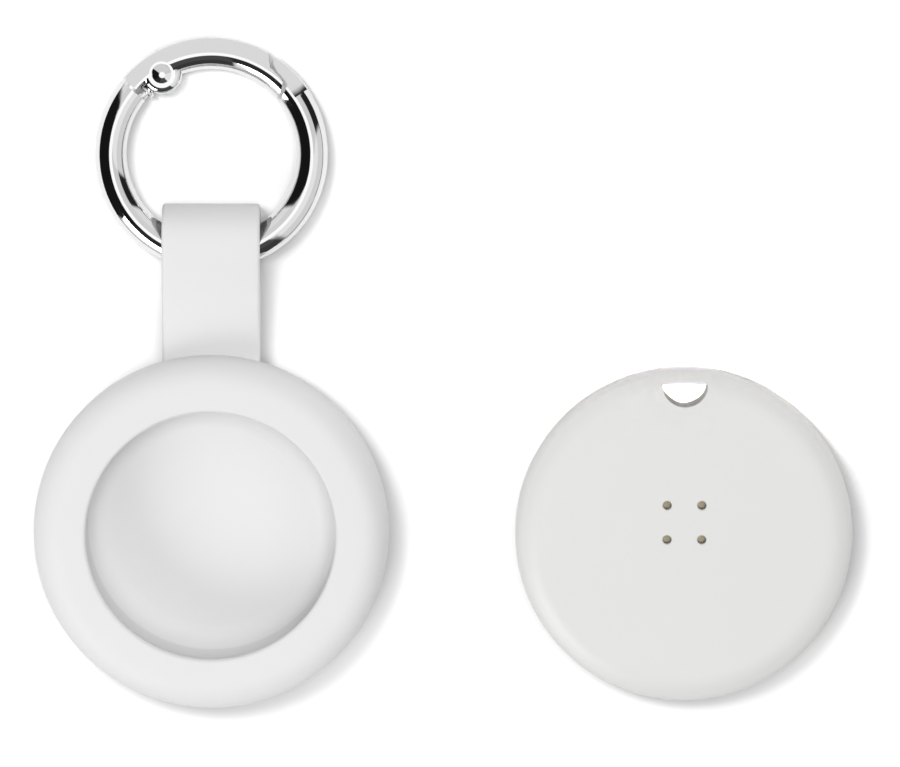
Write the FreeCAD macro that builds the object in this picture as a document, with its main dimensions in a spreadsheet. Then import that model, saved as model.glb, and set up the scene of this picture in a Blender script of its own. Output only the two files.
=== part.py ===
"""Bluetooth tracker tag with its silicone key-ring holder and spring-gate ring.

Frame: millimetres, +Z up, table at Z = 0. The origin is the centre of the
holder's flat base, +Y runs along the strap to the ring and the tag lies at +X.
"""

import FreeCAD, Part
import Sketcher
import math
import os
import re

Vector = FreeCAD.Vector
Z_AXIS = Vector(0, 0, 1)

# Every driving size: name, value in millimetres or degrees, what it is.
SIZES = [
    ("tag_apart", 14.25, "gap between the case and the tag beside it"),
    ("tag_y", -0.29, "tag centre along the strap's direction"),
    ("tag_radius", 19.0, "outside of the tag"),
    ("cell_gap", 0.1, "gap between door and cell"),
    ("spring_room", 0.4, "room for the minus spring under the board"),
    ("board_room", 0.45, "room between board and sounder"),
    ("holder_wall", 0.85, "silicone wall round the tag"),
    ("neck_length", 2.4, "case's edge to the flex line"),
    ("strap_length", 14.5, "flex line to the far edge of the loop"),
    ("loop_wall", 0.98, "silicone wall beside the ring"),
    ("loop_end_wall", 1.13, "silicone wall at the loop's end"),
    ("eye_gap", 0.098, "room round the turning ring in the loop"),
    ("nose_angle", 55.38, "gate's end face round the ring"),
    ("lip_angle", 46.35, "end of the gate's inner lip round the ring"),
    ("rim_width", 2.0, "plan width of the front rim's slope"),
    ("rim_drop", 1.3, "height of the front rim's slope"),
    ("rim_round", 3.5, "blend from face to rim slope"),
    ("side_round", 1.8, "blend from rim slope to side"),
    ("rear_round", 1.2, "rear edge of the flange"),
    ("bulge_flare", 1.1, "rear bulge grows by this up to the flange"),
    ("bulge_round", 0.9, "bottom edge of the bulge"),
    ("shell_wall", 1.0, "moulded wall"),
    ("lip_depth", 0.9, "front shell's lip inside the rear shell"),
    ("slot_half_width", 2.5, "half-moon lanyard slot"),
    ("slot_depth", 2.5, "flat side to the deepest point of the curve"),
    ("slot_sleeve", 0.7, "wall round the slot"),
    ("sound_hole", 1.0, "diameter of each sound hole"),
    ("sound_spacing", 3.9, "square pattern of four sound holes"),
    ("sound_y", 1.6, "pattern centre from the tag's centre"),
    ("light_skin", 0.35, "front left over the light pocket"),
    ("light_radius", 0.9, "light pocket"),
    ("door_plate", 0.95, "door plate thickness"),
    ("door_boss", 1.2, "door thickness at the middle"),
    ("door_gap", 0.1, "running gap round the door"),
    ("lug_reach", 0.6, "bayonet lug beyond the door's edge"),
    ("lug_width", 3.2, "bayonet lug"),
    ("lug_low", 0.45, "underside of the lugs"),
    ("lug_height", 0.45, "lug thickness"),
    ("lug_gap", 0.05, "gap above and below the lugs"),
    ("door_twist", 25.0, "turn that brings the lugs to their entries"),
    ("coin_length", 12.0, "coin slot"),
    ("coin_width", 1.6, "coin slot"),
    ("coin_depth", 0.55, "coin slot"),
    ("seal_wire", 0.25, "half thickness of the O-ring"),
    ("ledge_height", 1.5, "ledge the O-ring seals on"),
    ("cell_radius", 10.0, "coin cell"),
    ("cell_height", 3.2, "coin cell"),
    ("cell_step", 0.3, "height of the raised cap"),
    ("well_gap", 0.4, "gap round the cell"),
    ("board_thickness", 0.6, "circuit board"),
    ("post_radius", 0.8, "board post"),
    ("piezo_radius", 10.0, "brass plate of the sounder"),
    ("piezo_thickness", 0.15, "brass plate"),
    ("ceramic_radius", 7.0, "ceramic of the sounder"),
    ("ceramic_thickness", 0.2, "ceramic"),
    ("foam_thickness", 0.3, "foam ring under the front"),
    ("foam_width", 1.4, "foam ring"),
    ("contact_radius", 0.35, "sounder contact springs"),
    ("clip_width", 3.0, "plus contact clips"),
    ("sheet_metal", 0.15, "clips and springs"),
    ("switch_size", 3.2, "switch housing side"),
    ("switch_height", 0.7, "switch housing"),
    ("plunger_radius", 0.72, "switch plunger"),
    ("plunger_stroke", 0.25, "switch travel"),
    ("holder_floor", 1.1, "case under the bowl"),
    ("holder_fit", 0.15, "room round the tag in the case"),
    ("holder_top_round", 3.2, "outside edge above"),
    ("holder_base_round", 5.8, "outside edge below"),
    ("holder_lip", 1.05, "thickness of the lip"),
    ("opening_radius", 14.0, "opening in the lip"),
    ("opening_round", 0.35, "edges of the opening"),
    ("strap_width", 11.0, "strap"),
    ("loop_straight", 1.7, "straight part of the loop"),
    ("neck_half", 2.0, "half thickness of the strap at the case"),
    ("neck_gap", 0.05, "gap at the flex line"),
    ("strap_edge", 0.35, "rounded strap edges"),
    ("ring_radius", 11.3, "middle line of the ring"),
    ("wire_radius", 1.78, "ring's round section"),
    ("ring_lift", 0.05, "ring's far end above the table"),
    ("rivet_angle", 121.8, "rivet round the ring"),
    ("rivet_radius", 0.6, "rivet shank"),
    ("rivet_head", 1.1, "rivet head"),
    ("head_height", 0.4, "rivet head"),
    ("ear_radius", 2.3, "gate's ear round the rivet"),
    ("ear_half", 1.45, "half thickness of the ear"),
    ("heel_angle", 138.0, "end of the gate's outer skin"),
    ("heel_flat", 2.03, "flat the plunger bears on, from the rivet"),
    ("hinge_face", 142.0, "end face of the ring beside the rivet"),
    ("tongue_half", 0.65, "half thickness of the ring's tongue"),
    ("tongue_gap", 0.1, "gap between tongue and gate"),
    ("tongue_eye", 1.4, "tongue's round end"),
    ("nose_gap", 0.2, "gap at the closing end"),
    ("pin_angle", 133.0, "plunger's nose round the ring"),
    ("pin_radius", 0.5, "plunger pin"),
    ("pin_head", 0.75, "plunger head"),
    ("pin_head_length", 0.75, "plunger head"),
    ("pin_length", 2.6, "whole plunger"),
    ("coil_wire", 0.09, "half thickness of the spring's wire"),
    ("coil_length", 2.6, "gate spring"),
    ("coil_pitch", 0.42, "gate spring"),
]

# Sizes that follow from the driving sizes: name, expression, what it is.
DERIVED = [
    ("tag_x", "holder_radius + tag_apart + tag_radius", "tag centre to the right of the holder"),
    ("parting", "door_boss + cell_gap + cell_height + spring_room",
     "height of the line between the shells"),
    ("sounder_stack", "board_room + ceramic_thickness + piezo_thickness + foam_thickness",
     "board's top to the inside of the front"),
    ("tag_thickness", "parting + board_thickness + sounder_stack + shell_wall", "rear bulge to front face"),
    ("bulge_height", "parting - lip_depth - shell_wall", "rear bulge that houses the cell"),
    ("door_radius", "cell_radius + 0.9", "battery door, wider than the cell that passes it"),
    ("bulge_radius", "door_radius + 1.7", "rear bulge at its bottom"),
    ("lip_radius", "tag_radius - 1.28", "outside of the front shell's lip"),
    ("room_radius", "tag_radius - 2", "inside of the front shell"),
    ("board_radius", "room_radius - 0.3", "circuit board"),
    ("post_circle", "board_radius - 1.9", "board posts' circle"),
    ("slot_flat", "tag_radius - 1.8", "flat side of the slot from the tag's centre"),
    ("light_y", "board_radius - 4.3", "light pocket and lamp below the centre"),
    ("leaf_radius", "cell_cap - 3.2", "minus contact spring"),
    ("cell_cap", "cell_radius - 1", "raised cap of the cell"),
    ("holder_radius", "tag_radius + holder_fit + holder_wall", "outside of the silicone case"),
    ("holder_height", "holder_floor + tag_thickness + holder_fit + 0.1 + holder_lip",
     "base to the top of the lip"),
    ("neck_y", "holder_radius + neck_length", "flex line of the strap"),
    ("strap_end", "neck_y + strap_length", "far edge of the loop"),
    ("strap_level", "loop_radius + 0.02", "middle of the strap above the table"),
    ("loop_radius", "eye_room + loop_wall", "outside of the loop"),
    ("loop_bend", "loop_radius - loop_end_wall", "inside of the loop at its end"),
    ("hinge_y", "strap_end - loop_radius - 1.19", "line about which the ring flips"),
    ("strap_chord", "sqrt(ring_radius^2 - strap_width^2/4)",
     "ring's middle line at the strap's edges, from its centre"),
    ("eye_room", "(ring_radius - strap_chord)/2 + wire_radius*ring_radius/strap_chord + eye_gap",
     "void round the flip line inside the loop"),
    ("neck_root", "neck_half - 0.3", "half thickness where the loop starts"),
    ("rivet_reach", "ring_radius - 0.72", "rivet from the ring's centre"),
    ("rivet_seat", "rivet_head + 0.28", "round seat of the rivet head"),
    ("seat_level", "ear_half - 0.2", "seat above the ring's middle plane"),
    ("heel_inside", "ring_radius - 0.25", "inside of the gate's outer skin"),
    ("tongue_outside", "ring_radius + 1.1", "outside of the ring's tongue"),
    ("lip_split", "ring_radius + 0.1", "outside of the inner lip"),
    ("reach_squares", "rivet_reach^2 + ring_radius^2", "squares of the rivet's and the ring's distances"),
    ("reach_product", "2*rivet_reach*ring_radius", "twice the product of the same distances"),
    ("nose_reach", "sqrt(reach_squares - reach_product*cos(rivet_angle - nose_angle))",
     "gate's end face from the rivet"),
    ("lip_reach", "sqrt(reach_squares - reach_product*cos(rivet_angle - lip_angle))",
     "gate's inner lip from the rivet"),
    ("pin_reach", "ring_radius - 1.25", "plunger's line from the ring's centre"),
    ("bore_radius", "pin_radius + 0.05", "bore for plunger and spring"),
    ("coil_radius", "pin_radius - 0.12", "gate spring"),
    ("coil_start", "pin_length + 0.65", "start of the spring from the plunger's nose"),
    ("bore_depth", "coil_start + coil_length + 0.15", "end of the bore from the plunger's nose"),
]

# Board parts: name, place round the board, distance in from its edge, length, width, height.
BOARD_PARTS = [
    ("radio_chip", 205.0, 3.1, 4.0, 4.0, 0.85),
    ("motion_sensor", 158.0, 3.3, 2.0, 2.0, 0.8),
    ("chip_antenna", 335.0, 2.7, 2.2, 7.0, 0.9),
    ("status_led", 270.0, 4.3, 0.8, 1.6, 0.6),
]
CRYSTALS = [("crystal_fast", 237.0, 2.9, 2.0, 1.6, 0.5), ("crystal_slow", 180.0, 3.3, 1.2, 2.0, 0.5)]
PASSIVE_ANGLES = [10.0, 20.0, 68.0, 124.0, 136.0, 254.0, 286.0, 300.0, 312.0]
SWITCH_PLACE = (44.0, 2.9)

NAMES = {name for name, _, _ in SIZES}
RULES = {name: rule for name, rule, _ in DERIVED}

doc = FreeCAD.newDocument("TrackerTag")
sheet = doc.addObject("Spreadsheet::Sheet", "Sizes")


def fill_sheet():
    """Write the driving sizes, one to a row, and name their cells."""
    for row, (name, value, note) in enumerate(SIZES, start=1):
        sheet.set("A%d" % row, name)
        sheet.set("B%d" % row, str(value))
        sheet.setAlias("B%d" % row, name)
        sheet.set("C%d" % row, note)
    doc.recompute()


def named(expression):
    """Expression with each driving size written as the sheet's cell and each derived one spelt out."""
    def spell(word):
        name = word[0]
        if name in RULES:
            return "(" + named(RULES[name]) + ")"
        return "Sizes." + name if name in NAMES else name
    return re.sub(r"[a-z][a-z_]*", spell, str(expression))


def value(expression):
    """Number that an expression in the sizes' names gives."""
    result = doc.Sizes.evalExpression(named(expression))
    return float(getattr(result, "Value", result))


def bind(item, **expressions):
    """Bind properties of an object; a double underscore in a name stands for a dot."""
    for name, expression in expressions.items():
        item.setExpression(name.replace("__", "."), named(expression))
    return item


def polar(reach, angle):
    """X and Y expressions of a point given by distance and angle."""
    return "(%s)*cos(%s)" % (reach, angle), "(%s)*sin(%s)" % (reach, angle)


# ---------------------------------------------------------------- sketches

def new_body(label, x="0", y="0"):
    """Empty body placed in the plan."""
    body = doc.addObject("PartDesign::Body", label)
    body.Label = label
    bind(body, Placement__Base__x=x, Placement__Base__y=y)
    return body


def tag_body(label):
    """Empty body on the tag's axis."""
    return new_body(label, "tag_x", "tag_y")


def new_sketch(body, plane, level="0", turn=None):
    """Empty sketch on one of the body's own origin planes, raised to a level."""
    sketch = body.newObject("Sketcher::SketchObject", body.Label + "_sketch")
    support = next(f for f in body.Origin.OriginFeatures if f.Role == plane)
    sketch.AttachmentSupport = [(support, "")]
    sketch.MapMode = "FlatFace"
    if turn is not None:
        sketch.AttachmentOffset = FreeCAD.Placement(Vector(), FreeCAD.Rotation(Z_AXIS, value(turn)))
        bind(sketch, AttachmentOffset__Rotation__Angle=turn)
    if level != "0":
        bind(sketch, AttachmentOffset__Base__z=level)
    return sketch


def fix(sketch, kind, edge, point, expression):
    """Hold one coordinate of a point at an expression."""
    if expression == "0":
        axis = -2 if kind == "DistanceX" else -1
        sketch.addConstraint(Sketcher.Constraint("PointOnObject", edge, point, axis))
        return
    index = sketch.addConstraint(Sketcher.Constraint(kind, -1, 1, edge, point, value(expression)))
    sketch.setExpression("Constraints[%d]" % index, named(expression))


def outline(sketch, points):
    """Closed outline; a point (x, y, axis, centre, turn) starts an arc.

    The arc's centre has the coordinate `centre` along `axis`, and `turn` is
    +1 for an arc drawn counter-clockwise.
    """
    first = sketch.GeometryCount
    count = len(points)
    ends = []
    for i, point in enumerate(points):
        here = Vector(value(point[0]), value(point[1]), 0)
        after = points[(i + 1) % count]
        there = Vector(value(after[0]), value(after[1]), 0)
        if len(point) == 2:
            sketch.addGeometry(Part.LineSegment(here, there), False)
            ends.append((1, 2))
            continue
        axis = "xy".index(point[2])
        normal = Vector(here.y - there.y, there.x - here.x, 0)
        middle = (here + there) * 0.5
        centre = middle + normal * ((value(point[3]) - middle[axis]) / normal[axis])
        start, stop = (here, there) if point[4] > 0 else (there, here)
        low = math.atan2(start.y - centre.y, start.x - centre.x)
        high = math.atan2(stop.y - centre.y, stop.x - centre.x)
        circle = Part.Circle(centre, Z_AXIS, centre.distanceToPoint(here))
        sketch.addGeometry(Part.ArcOfCircle(circle, low, high if high > low else high + 2 * math.pi), False)
        ends.append((1, 2) if point[4] > 0 else (2, 1))
    for i, point in enumerate(points):
        after = (i + 1) % count
        edge = first + i
        sketch.addConstraint(
            Sketcher.Constraint("Coincident", edge, ends[i][1], first + after, ends[after][0]))
        fix(sketch, "DistanceX", edge, ends[i][0], point[0])
        fix(sketch, "DistanceY", edge, ends[i][0], point[1])
        if len(point) > 2:
            fix(sketch, "DistanceX" if point[2] == "x" else "DistanceY", edge, 3, point[3])


def circle(sketch, x, y, radius):
    """Circle held at a point with a radius."""
    edge = sketch.addGeometry(Part.Circle(Vector(value(x), value(y), 0), Z_AXIS, value(radius)), False)
    fix(sketch, "DistanceX", edge, 3, x)
    fix(sketch, "DistanceY", edge, 3, y)
    index = sketch.addConstraint(Sketcher.Constraint("Radius", edge, value(radius)))
    sketch.setExpression("Constraints[%d]" % index, named(radius))


# ---------------------------------------------------------------- features

def turned(body, points, cut=False):
    """Revolve an outline of (radius, height) points about the body's Z axis."""
    sketch = new_sketch(body, "XZ_Plane")
    outline(sketch, points)
    kind = "PartDesign::Groove" if cut else "PartDesign::Revolution"
    feature = body.newObject(kind, body.Label + ("_groove" if cut else "_turn"))
    feature.Profile = sketch
    feature.ReferenceAxis = (sketch, ["V_Axis"])
    feature.Angle = 360
    doc.recompute()
    return feature


def pushed(body, sketch, length, cut=False, both=False):
    """Pad a sketch up, or pocket it down, by a length."""
    kind = "PartDesign::Pocket" if cut else "PartDesign::Pad"
    feature = body.newObject(kind, body.Label + ("_pocket" if cut else "_pad"))
    feature.Profile = sketch
    if both:
        feature.SideType = "Symmetric"
    bind(feature, Length=length)
    doc.recompute()
    return feature


def round_edges(body, rims, radius):
    """Fillet the circular edges of the body at the given (radius, height) pairs."""
    base = body.Tip
    names = []
    for index, edge in enumerate(base.Shape.Edges, start=1):
        if not isinstance(edge.Curve, Part.Circle):
            continue
        for reach, level in rims:
            if abs(edge.Curve.Radius - value(reach)) < 1e-3 and abs(edge.Curve.Center.z - value(level)) < 1e-3:
                names.append("Edge%d" % index)
    assert names, "no edge to round on " + body.Label
    fillet = body.newObject("PartDesign::Fillet", body.Label + "_fillet")
    fillet.Base = (base, names)
    bind(fillet, Radius=radius)
    doc.recompute()
    return fillet


def repeat_round(body, feature, sketch, count):
    """Repeat a feature evenly about the body's Z axis."""
    pattern = body.newObject("PartDesign::PolarPattern", body.Label + "_pattern")
    pattern.Originals = [feature]
    pattern.Axis = (sketch, ["N_Axis"])
    pattern.Angle = 360
    pattern.Occurrences = count
    body.Tip = pattern
    doc.recompute()
    return pattern


def solid(kind, name, **expressions):
    """Part primitive with its sizes bound."""
    return bind(doc.addObject("Part::" + kind, name), **expressions)


def cylinder(name, radius, low, high, x="0", y="0", **more):
    """Upright cylinder between two levels."""
    return solid("Cylinder", name, Radius=radius, Height="(%s)-(%s)" % (high, low),
                 Placement__Base__x=x, Placement__Base__y=y, Placement__Base__z=low, **more)


def boolean(kind, label, base, tool):
    """Cut, Common or Fuse of two objects."""
    item = doc.addObject("Part::" + kind, label)
    item.Label = label
    item.Base = base
    item.Tool = tool
    return item


def group(label, items):
    """Separate solids kept together as one sub-part."""
    item = doc.addObject("Part::Compound", label)
    item.Label = label
    item.Links = items
    return item


def on_tag(item):
    """Put a piece made about the origin on the tag's axis."""
    return bind(item, Placement__Base__x="tag_x", Placement__Base__y="tag_y")


# ---------------------------------------------------------------- the tag

def slot_outline(grow="0"):
    """Half-moon outline of the lanyard slot, grown on its curved side."""
    half = "slot_half_width + " + grow
    return [
        ("-(%s)" % half, "slot_flat", "y", "slot_flat", 1),
        (half, "slot_flat"),
    ]


def draw_slot(sketch, grow="0"):
    """Half-moon: a straight side and a half circle below it."""
    outline(sketch, slot_outline(grow))


def front_shell():
    """Domed-edge front with sound holes, light pocket, slot sleeve and lip."""
    body = tag_body("front_shell")
    turned(body, [
        ("0", "tag_thickness"),
        ("0", "tag_thickness - shell_wall"),
        ("room_radius", "tag_thickness - shell_wall"),
        ("room_radius", "parting - lip_depth"),
        ("lip_radius", "parting - lip_depth"),
        ("lip_radius", "parting"),
        ("tag_radius", "parting"),
        ("tag_radius", "tag_thickness - rim_drop"),
        ("tag_radius - rim_width", "tag_thickness"),
    ])
    round_edges(body, [("tag_radius - rim_width", "tag_thickness")], "rim_round")
    round_edges(body, [("tag_radius", "tag_thickness - rim_drop")], "side_round")
    sketch = new_sketch(body, "XY_Plane", "parting - lip_depth")
    draw_slot(sketch, "slot_sleeve")
    pushed(body, sketch, "tag_thickness - shell_wall / 2 - parting + lip_depth")
    sketch = new_sketch(body, "XY_Plane", "tag_thickness + 1")
    draw_slot(sketch)
    pushed(body, sketch, "tag_thickness", cut=True)
    sketch = new_sketch(body, "XY_Plane", "tag_thickness + 1")
    for side in ("-", ""):
        for up in ("-", "+"):
            circle(sketch, side + "sound_spacing / 2", "sound_y %s sound_spacing / 2" % up, "sound_hole / 2")
    pushed(body, sketch, "tag_thickness", cut=True)
    sketch = new_sketch(body, "XY_Plane", "tag_thickness - light_skin")
    circle(sketch, "0", "-light_y", "light_radius")
    pushed(body, sketch, "tag_thickness / 2", cut=True)
    return body


def rear_shell():
    """Flange, board posts and the round bulge with the bayonet seat."""
    bore = "door_radius + door_gap"
    groove = "door_radius + lug_reach + 0.25"
    well = "cell_radius + well_gap"
    floor = "bulge_height + shell_wall"
    body = tag_body("rear_shell")
    turned(body, [
        (bore, "0"),
        ("bulge_radius", "0"),
        ("bulge_radius + bulge_flare", "bulge_height"),
        ("tag_radius", "bulge_height"),
        ("tag_radius", "parting"),
        ("lip_radius + 0.06", "parting"),
        ("lip_radius + 0.06", floor),
        (well, floor),
        (well, "ledge_height"),
        (bore, "ledge_height"),
        (bore, "lug_low + lug_height + lug_gap"),
        (groove, "lug_low + lug_height + lug_gap"),
        (groove, "lug_low - lug_gap"),
        (bore, "lug_low - lug_gap"),
    ])
    round_edges(body, [("bulge_radius", "0")], "bulge_round")
    round_edges(body, [("tag_radius", "bulge_height")], "rear_round")
    sketch = new_sketch(body, "XY_Plane", floor)
    circle(sketch, "post_circle", "0", "post_radius")
    post = pushed(body, sketch, "parting - (%s)" % floor)
    repeat_round(body, post, sketch, 6)
    sketch = new_sketch(body, "XY_Plane", "parting")
    draw_slot(sketch)
    pushed(body, sketch, "parting", cut=True)
    sketch = new_sketch(body, "XY_Plane", "lug_low", turn="door_twist")
    half = "(lug_width / 2 + 0.2)"
    outline(sketch, [
        ("door_radius - 0.3", "-" + half), (groove, "-" + half), (groove, half), ("door_radius - 0.3", half)])
    entry = pushed(body, sketch, "lug_low + 1", cut=True)
    repeat_round(body, entry, sketch, 3)
    return body


def battery_door():
    """Coin-slot door with three bayonet lugs and a seat for the O-ring."""
    body = tag_body("battery_door")
    boss = "door_radius - 0.6"
    turned(body, [("0", "0"), ("door_radius", "0"), ("door_radius", "door_plate"), (boss, "door_plate"),
                  (boss, "door_boss"), ("0", "door_boss")])
    sketch = new_sketch(body, "XY_Plane", "lug_low")
    outline(sketch, [
        ("door_radius - 0.4", "-lug_width / 2"), ("door_radius + lug_reach", "-lug_width / 2"),
        ("door_radius + lug_reach", "lug_width / 2"), ("door_radius - 0.4", "lug_width / 2")])
    lug = pushed(body, sketch, "lug_height")
    repeat_round(body, lug, sketch, 3)
    sketch = new_sketch(body, "XY_Plane", "coin_depth")
    outline(sketch, [
        ("-coin_length / 2", "-coin_width / 2"), ("coin_length / 2", "-coin_width / 2"),
        ("coin_length / 2", "coin_width / 2"), ("-coin_length / 2", "coin_width / 2")])
    pushed(body, sketch, "coin_depth + 1", cut=True)
    return body


def coin_cell():
    """Lithium coin cell with its raised cap upwards."""
    low = "door_boss + cell_gap"
    top = "%s + cell_height" % low
    body = tag_body("coin_cell")
    turned(body, [("0", low), ("cell_radius", low), ("cell_radius", top + " - cell_step"),
                  ("cell_cap", top + " - cell_step"), ("cell_cap", top), ("0", top)])
    round_edges(body, [("cell_radius", low)], "cell_step")
    return body


def minus_spring():
    """Dished spring between the cell's cap and the board."""
    low = "(door_boss + cell_gap + cell_height)"
    foot = "(leaf_radius - 0.6)"
    body = tag_body("battery_minus_spring")
    turned(body, [
        ("2", "parting - sheet_metal"), ("2.6", "parting - sheet_metal"), (foot, low), ("leaf_radius", low),
        ("leaf_radius", low + " + sheet_metal"), (foot + " + 0.05", low + " + sheet_metal"),
        ("2.65", "parting"), ("2", "parting")])
    return body


def plus_clips():
    """Two bent clips from the board to the side of the cell."""
    clips = []
    for index, side in enumerate((1, -1)):
        name = "plus_clip_%d" % index
        edge = "cell_radius + 0.03"
        start = edge if side > 0 else "-(%s) - sheet_metal" % edge
        foot_start = edge if side > 0 else "-(%s) - 2" % edge
        wall = solid("Box", name + "_wall", Length="sheet_metal", Width="clip_width", Height="parting - 2",
                     Placement__Base__x=start, Placement__Base__y="-clip_width / 2", Placement__Base__z="2")
        foot = solid("Box", name + "_foot", Length="2", Width="clip_width", Height="sheet_metal",
                     Placement__Base__x=foot_start, Placement__Base__y="-clip_width / 2",
                     Placement__Base__z="parting - sheet_metal")
        clips.append(boolean("Fuse", name, wall, foot))
    return on_tag(group("battery_plus_clips", clips))


def circuit_board():
    """Round board notched for the slot's sleeve."""
    disc = cylinder("board_disc", "board_radius", "parting", "parting + board_thickness")
    notch = cylinder("board_notch", "slot_half_width + slot_sleeve + 0.3", "parting - 1",
                     "parting + board_thickness + 1", y="slot_flat")
    return on_tag(boolean("Cut", "circuit_board", disc, notch))


def board_box(name, angle, inset, length, width, height):
    """Small box standing on the board, square to its radius."""
    reach = "board_radius - %s" % inset
    item = solid("Box", name, Length=length, Width=width, Height=height,
                 Placement__Base__x="tag_x + cos(%s)*(%s) + sin(%s)*(%s)/2" % (
                     angle, "%s - %s/2" % (reach, length), angle, width),
                 Placement__Base__y="tag_y + sin(%s)*(%s) - cos(%s)*(%s)/2" % (
                     angle, "%s - %s/2" % (reach, length), angle, width),
                 Placement__Base__z="parting + board_thickness")
    item.Placement.Rotation = FreeCAD.Rotation(Z_AXIS, 1)
    bind(item, Placement__Rotation__Angle=angle)
    item.Label = name
    return item


def board_parts():
    """Chips, crystals and small passive parts on top of the board."""
    singles = [board_box(*place) for place in BOARD_PARTS]
    crystals = group("crystals", [board_box(*place) for place in CRYSTALS])
    small = [board_box("passive_%d" % i, angle, 2.1, 0.5, 1.0, 0.4)
             for i, angle in enumerate(PASSIVE_ANGLES)]
    return singles + [crystals, group("passives", small)]


def sounder():
    """Brass plate and ceramic hung under the front on a foam ring, with contact springs."""
    ceiling = "(tag_thickness - shell_wall)"
    plate_top = ceiling + " - foam_thickness"
    plate_low = plate_top + " - piezo_thickness"
    ceramic_low = plate_low + " - ceramic_thickness"
    foam = boolean("Cut", "piezo_foam_ring",
                   cylinder("foam_outside", "piezo_radius", plate_top, ceiling, y="sound_y"),
                   cylinder("foam_inside", "piezo_radius - foam_width", plate_top + " - 1",
                            ceiling + " + 1", y="sound_y"))
    plate = cylinder("piezo_plate", "piezo_radius", plate_low, plate_top, "tag_x", "tag_y + sound_y")
    ceramic = cylinder("piezo_ceramic", "ceramic_radius", ceramic_low, plate_low, "tag_x", "tag_y + sound_y")
    plate.Label = "piezo_plate"
    ceramic.Label = "piezo_ceramic"
    board_top = "parting + board_thickness"
    contacts = group("piezo_springs", [
        cylinder("contact_plate", "contact_radius", board_top, plate_low,
                 x="ceramic_radius + 1.5", y="sound_y"),
        cylinder("contact_ceramic", "contact_radius", board_top, ceramic_low, x="3", y="sound_y")])
    return [on_tag(foam), plate, ceramic, on_tag(contacts)]


def push_switch():
    """Small switch on the board: a square housing and its plunger."""
    angle, inset = SWITCH_PLACE
    x, y = polar("board_radius - %s" % inset, angle)
    base = "parting + board_thickness"
    top = "(%s + switch_height)" % base
    housing = solid("Box", "switch_block", Length="switch_size", Width="switch_size",
                    Height="switch_height", Placement__Base__x=x + " - switch_size/2",
                    Placement__Base__y=y + " - switch_size/2", Placement__Base__z=base)
    well = cylinder("switch_well", "plunger_radius + 0.08", top + " - 0.45", top + " + 1", x, y)
    plunger = cylinder("switch_plunger", "plunger_radius", top + " - 0.15", top + " + 0.3",
                       "tag_x + " + x, "tag_y + " + y)
    plunger.Label = "switch_plunger"
    return [on_tag(boolean("Cut", "switch_housing", housing, well)), plunger]


def door_seal():
    """O-ring on the door's shoulder."""
    seal = solid("Torus", "door_o_ring", Radius1="door_radius - 0.6 + seal_wire + 0.03", Radius2="seal_wire",
                 Placement__Base__z="door_plate + seal_wire")
    seal.Label = "door_o_ring"
    return on_tag(seal)


# ---------------------------------------------------------------- the holder

def holder_case():
    """Round silicone case: flat base, bowl, pocket under the lip, strap root."""
    seat = "holder_floor + bulge_height"
    wall = "tag_radius + holder_fit"
    under_lip = "holder_height - holder_lip"
    body = new_body("holder_case")
    turned(body, [("0", "0"), ("holder_radius", "0"), ("holder_radius", "holder_height"),
                  ("0", "holder_height")])
    round_edges(body, [("holder_radius", "holder_height")], "holder_top_round")
    round_edges(body, [("holder_radius", "0")], "holder_base_round")
    sketch = new_sketch(body, "YZ_Plane")
    outline(sketch, [
        ("opening_radius", "strap_level - neck_half"),
        ("neck_y", "strap_level - neck_half", "x", "neck_y", 1),
        ("neck_y", "strap_level + neck_half"),
        ("opening_radius", "strap_level + neck_half")])
    pushed(body, sketch, "strap_width", both=True)
    turned(body, [
        ("0", "holder_floor"),
        ("bulge_radius + holder_fit", "holder_floor"),
        ("bulge_radius + bulge_flare + holder_fit", seat),
        (wall, seat),
        (wall, under_lip),
        ("opening_radius", under_lip),
        ("opening_radius", "holder_height + 1"),
        ("0", "holder_height + 1")], cut=True)
    round_edges(body, [(wall, under_lip)], "rear_round + 1.1")
    round_edges(body, [(wall, seat)], "rear_round - 0.2")
    round_edges(body, [("bulge_radius + holder_fit", "holder_floor")], "bulge_round + 0.1")
    round_edges(body, [("opening_radius", "holder_height"), ("opening_radius", under_lip)], "opening_round")
    return body


def strap_loop():
    """Flat strap doubled into a loop whose void holds the ring."""
    bend = "(strap_end - loop_radius)"
    corner = "(%s - loop_straight)" % bend
    tip = "(hinge_y - 4.6)"
    body = new_body("strap_loop")
    sketch = new_sketch(body, "YZ_Plane")
    outline(sketch, [
        ("neck_y", "strap_level - neck_root"),
        (corner, "strap_level - loop_radius"),
        (bend, "strap_level - loop_radius", "x", bend, 1),
        (bend, "strap_level + loop_radius"),
        (corner, "strap_level + loop_radius"),
        ("neck_y", "strap_level + neck_root")])
    pushed(body, sketch, "strap_width", both=True)
    sketch = new_sketch(body, "YZ_Plane")
    circle(sketch, "neck_y", "strap_level", "neck_half + neck_gap")
    pushed(body, sketch, "strap_width + 2", cut=True, both=True)
    sketch = new_sketch(body, "YZ_Plane")
    outline(sketch, [
        (tip, "strap_level - 0.5"),
        ("hinge_y", "strap_level - eye_room"),
        ("hinge_y + 0.3", "strap_level - eye_room"),
        (bend, "strap_level - loop_bend", "x", bend, 1),
        (bend, "strap_level + loop_bend"),
        ("hinge_y + 0.3", "strap_level + eye_room"),
        ("hinge_y", "strap_level + eye_room"),
        (tip, "strap_level + 0.5", "x", tip, 1)])
    pushed(body, sketch, "strap_width + 2", cut=True, both=True)
    sketch = new_sketch(body, "YZ_Plane")
    circle(sketch, "hinge_y", "strap_level", "eye_room")
    pushed(body, sketch, "strap_width + 2", cut=True, both=True)
    return body


# ---------------------------------------------------------------- the ring

RIVET = polar("rivet_reach", "rivet_angle")


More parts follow.
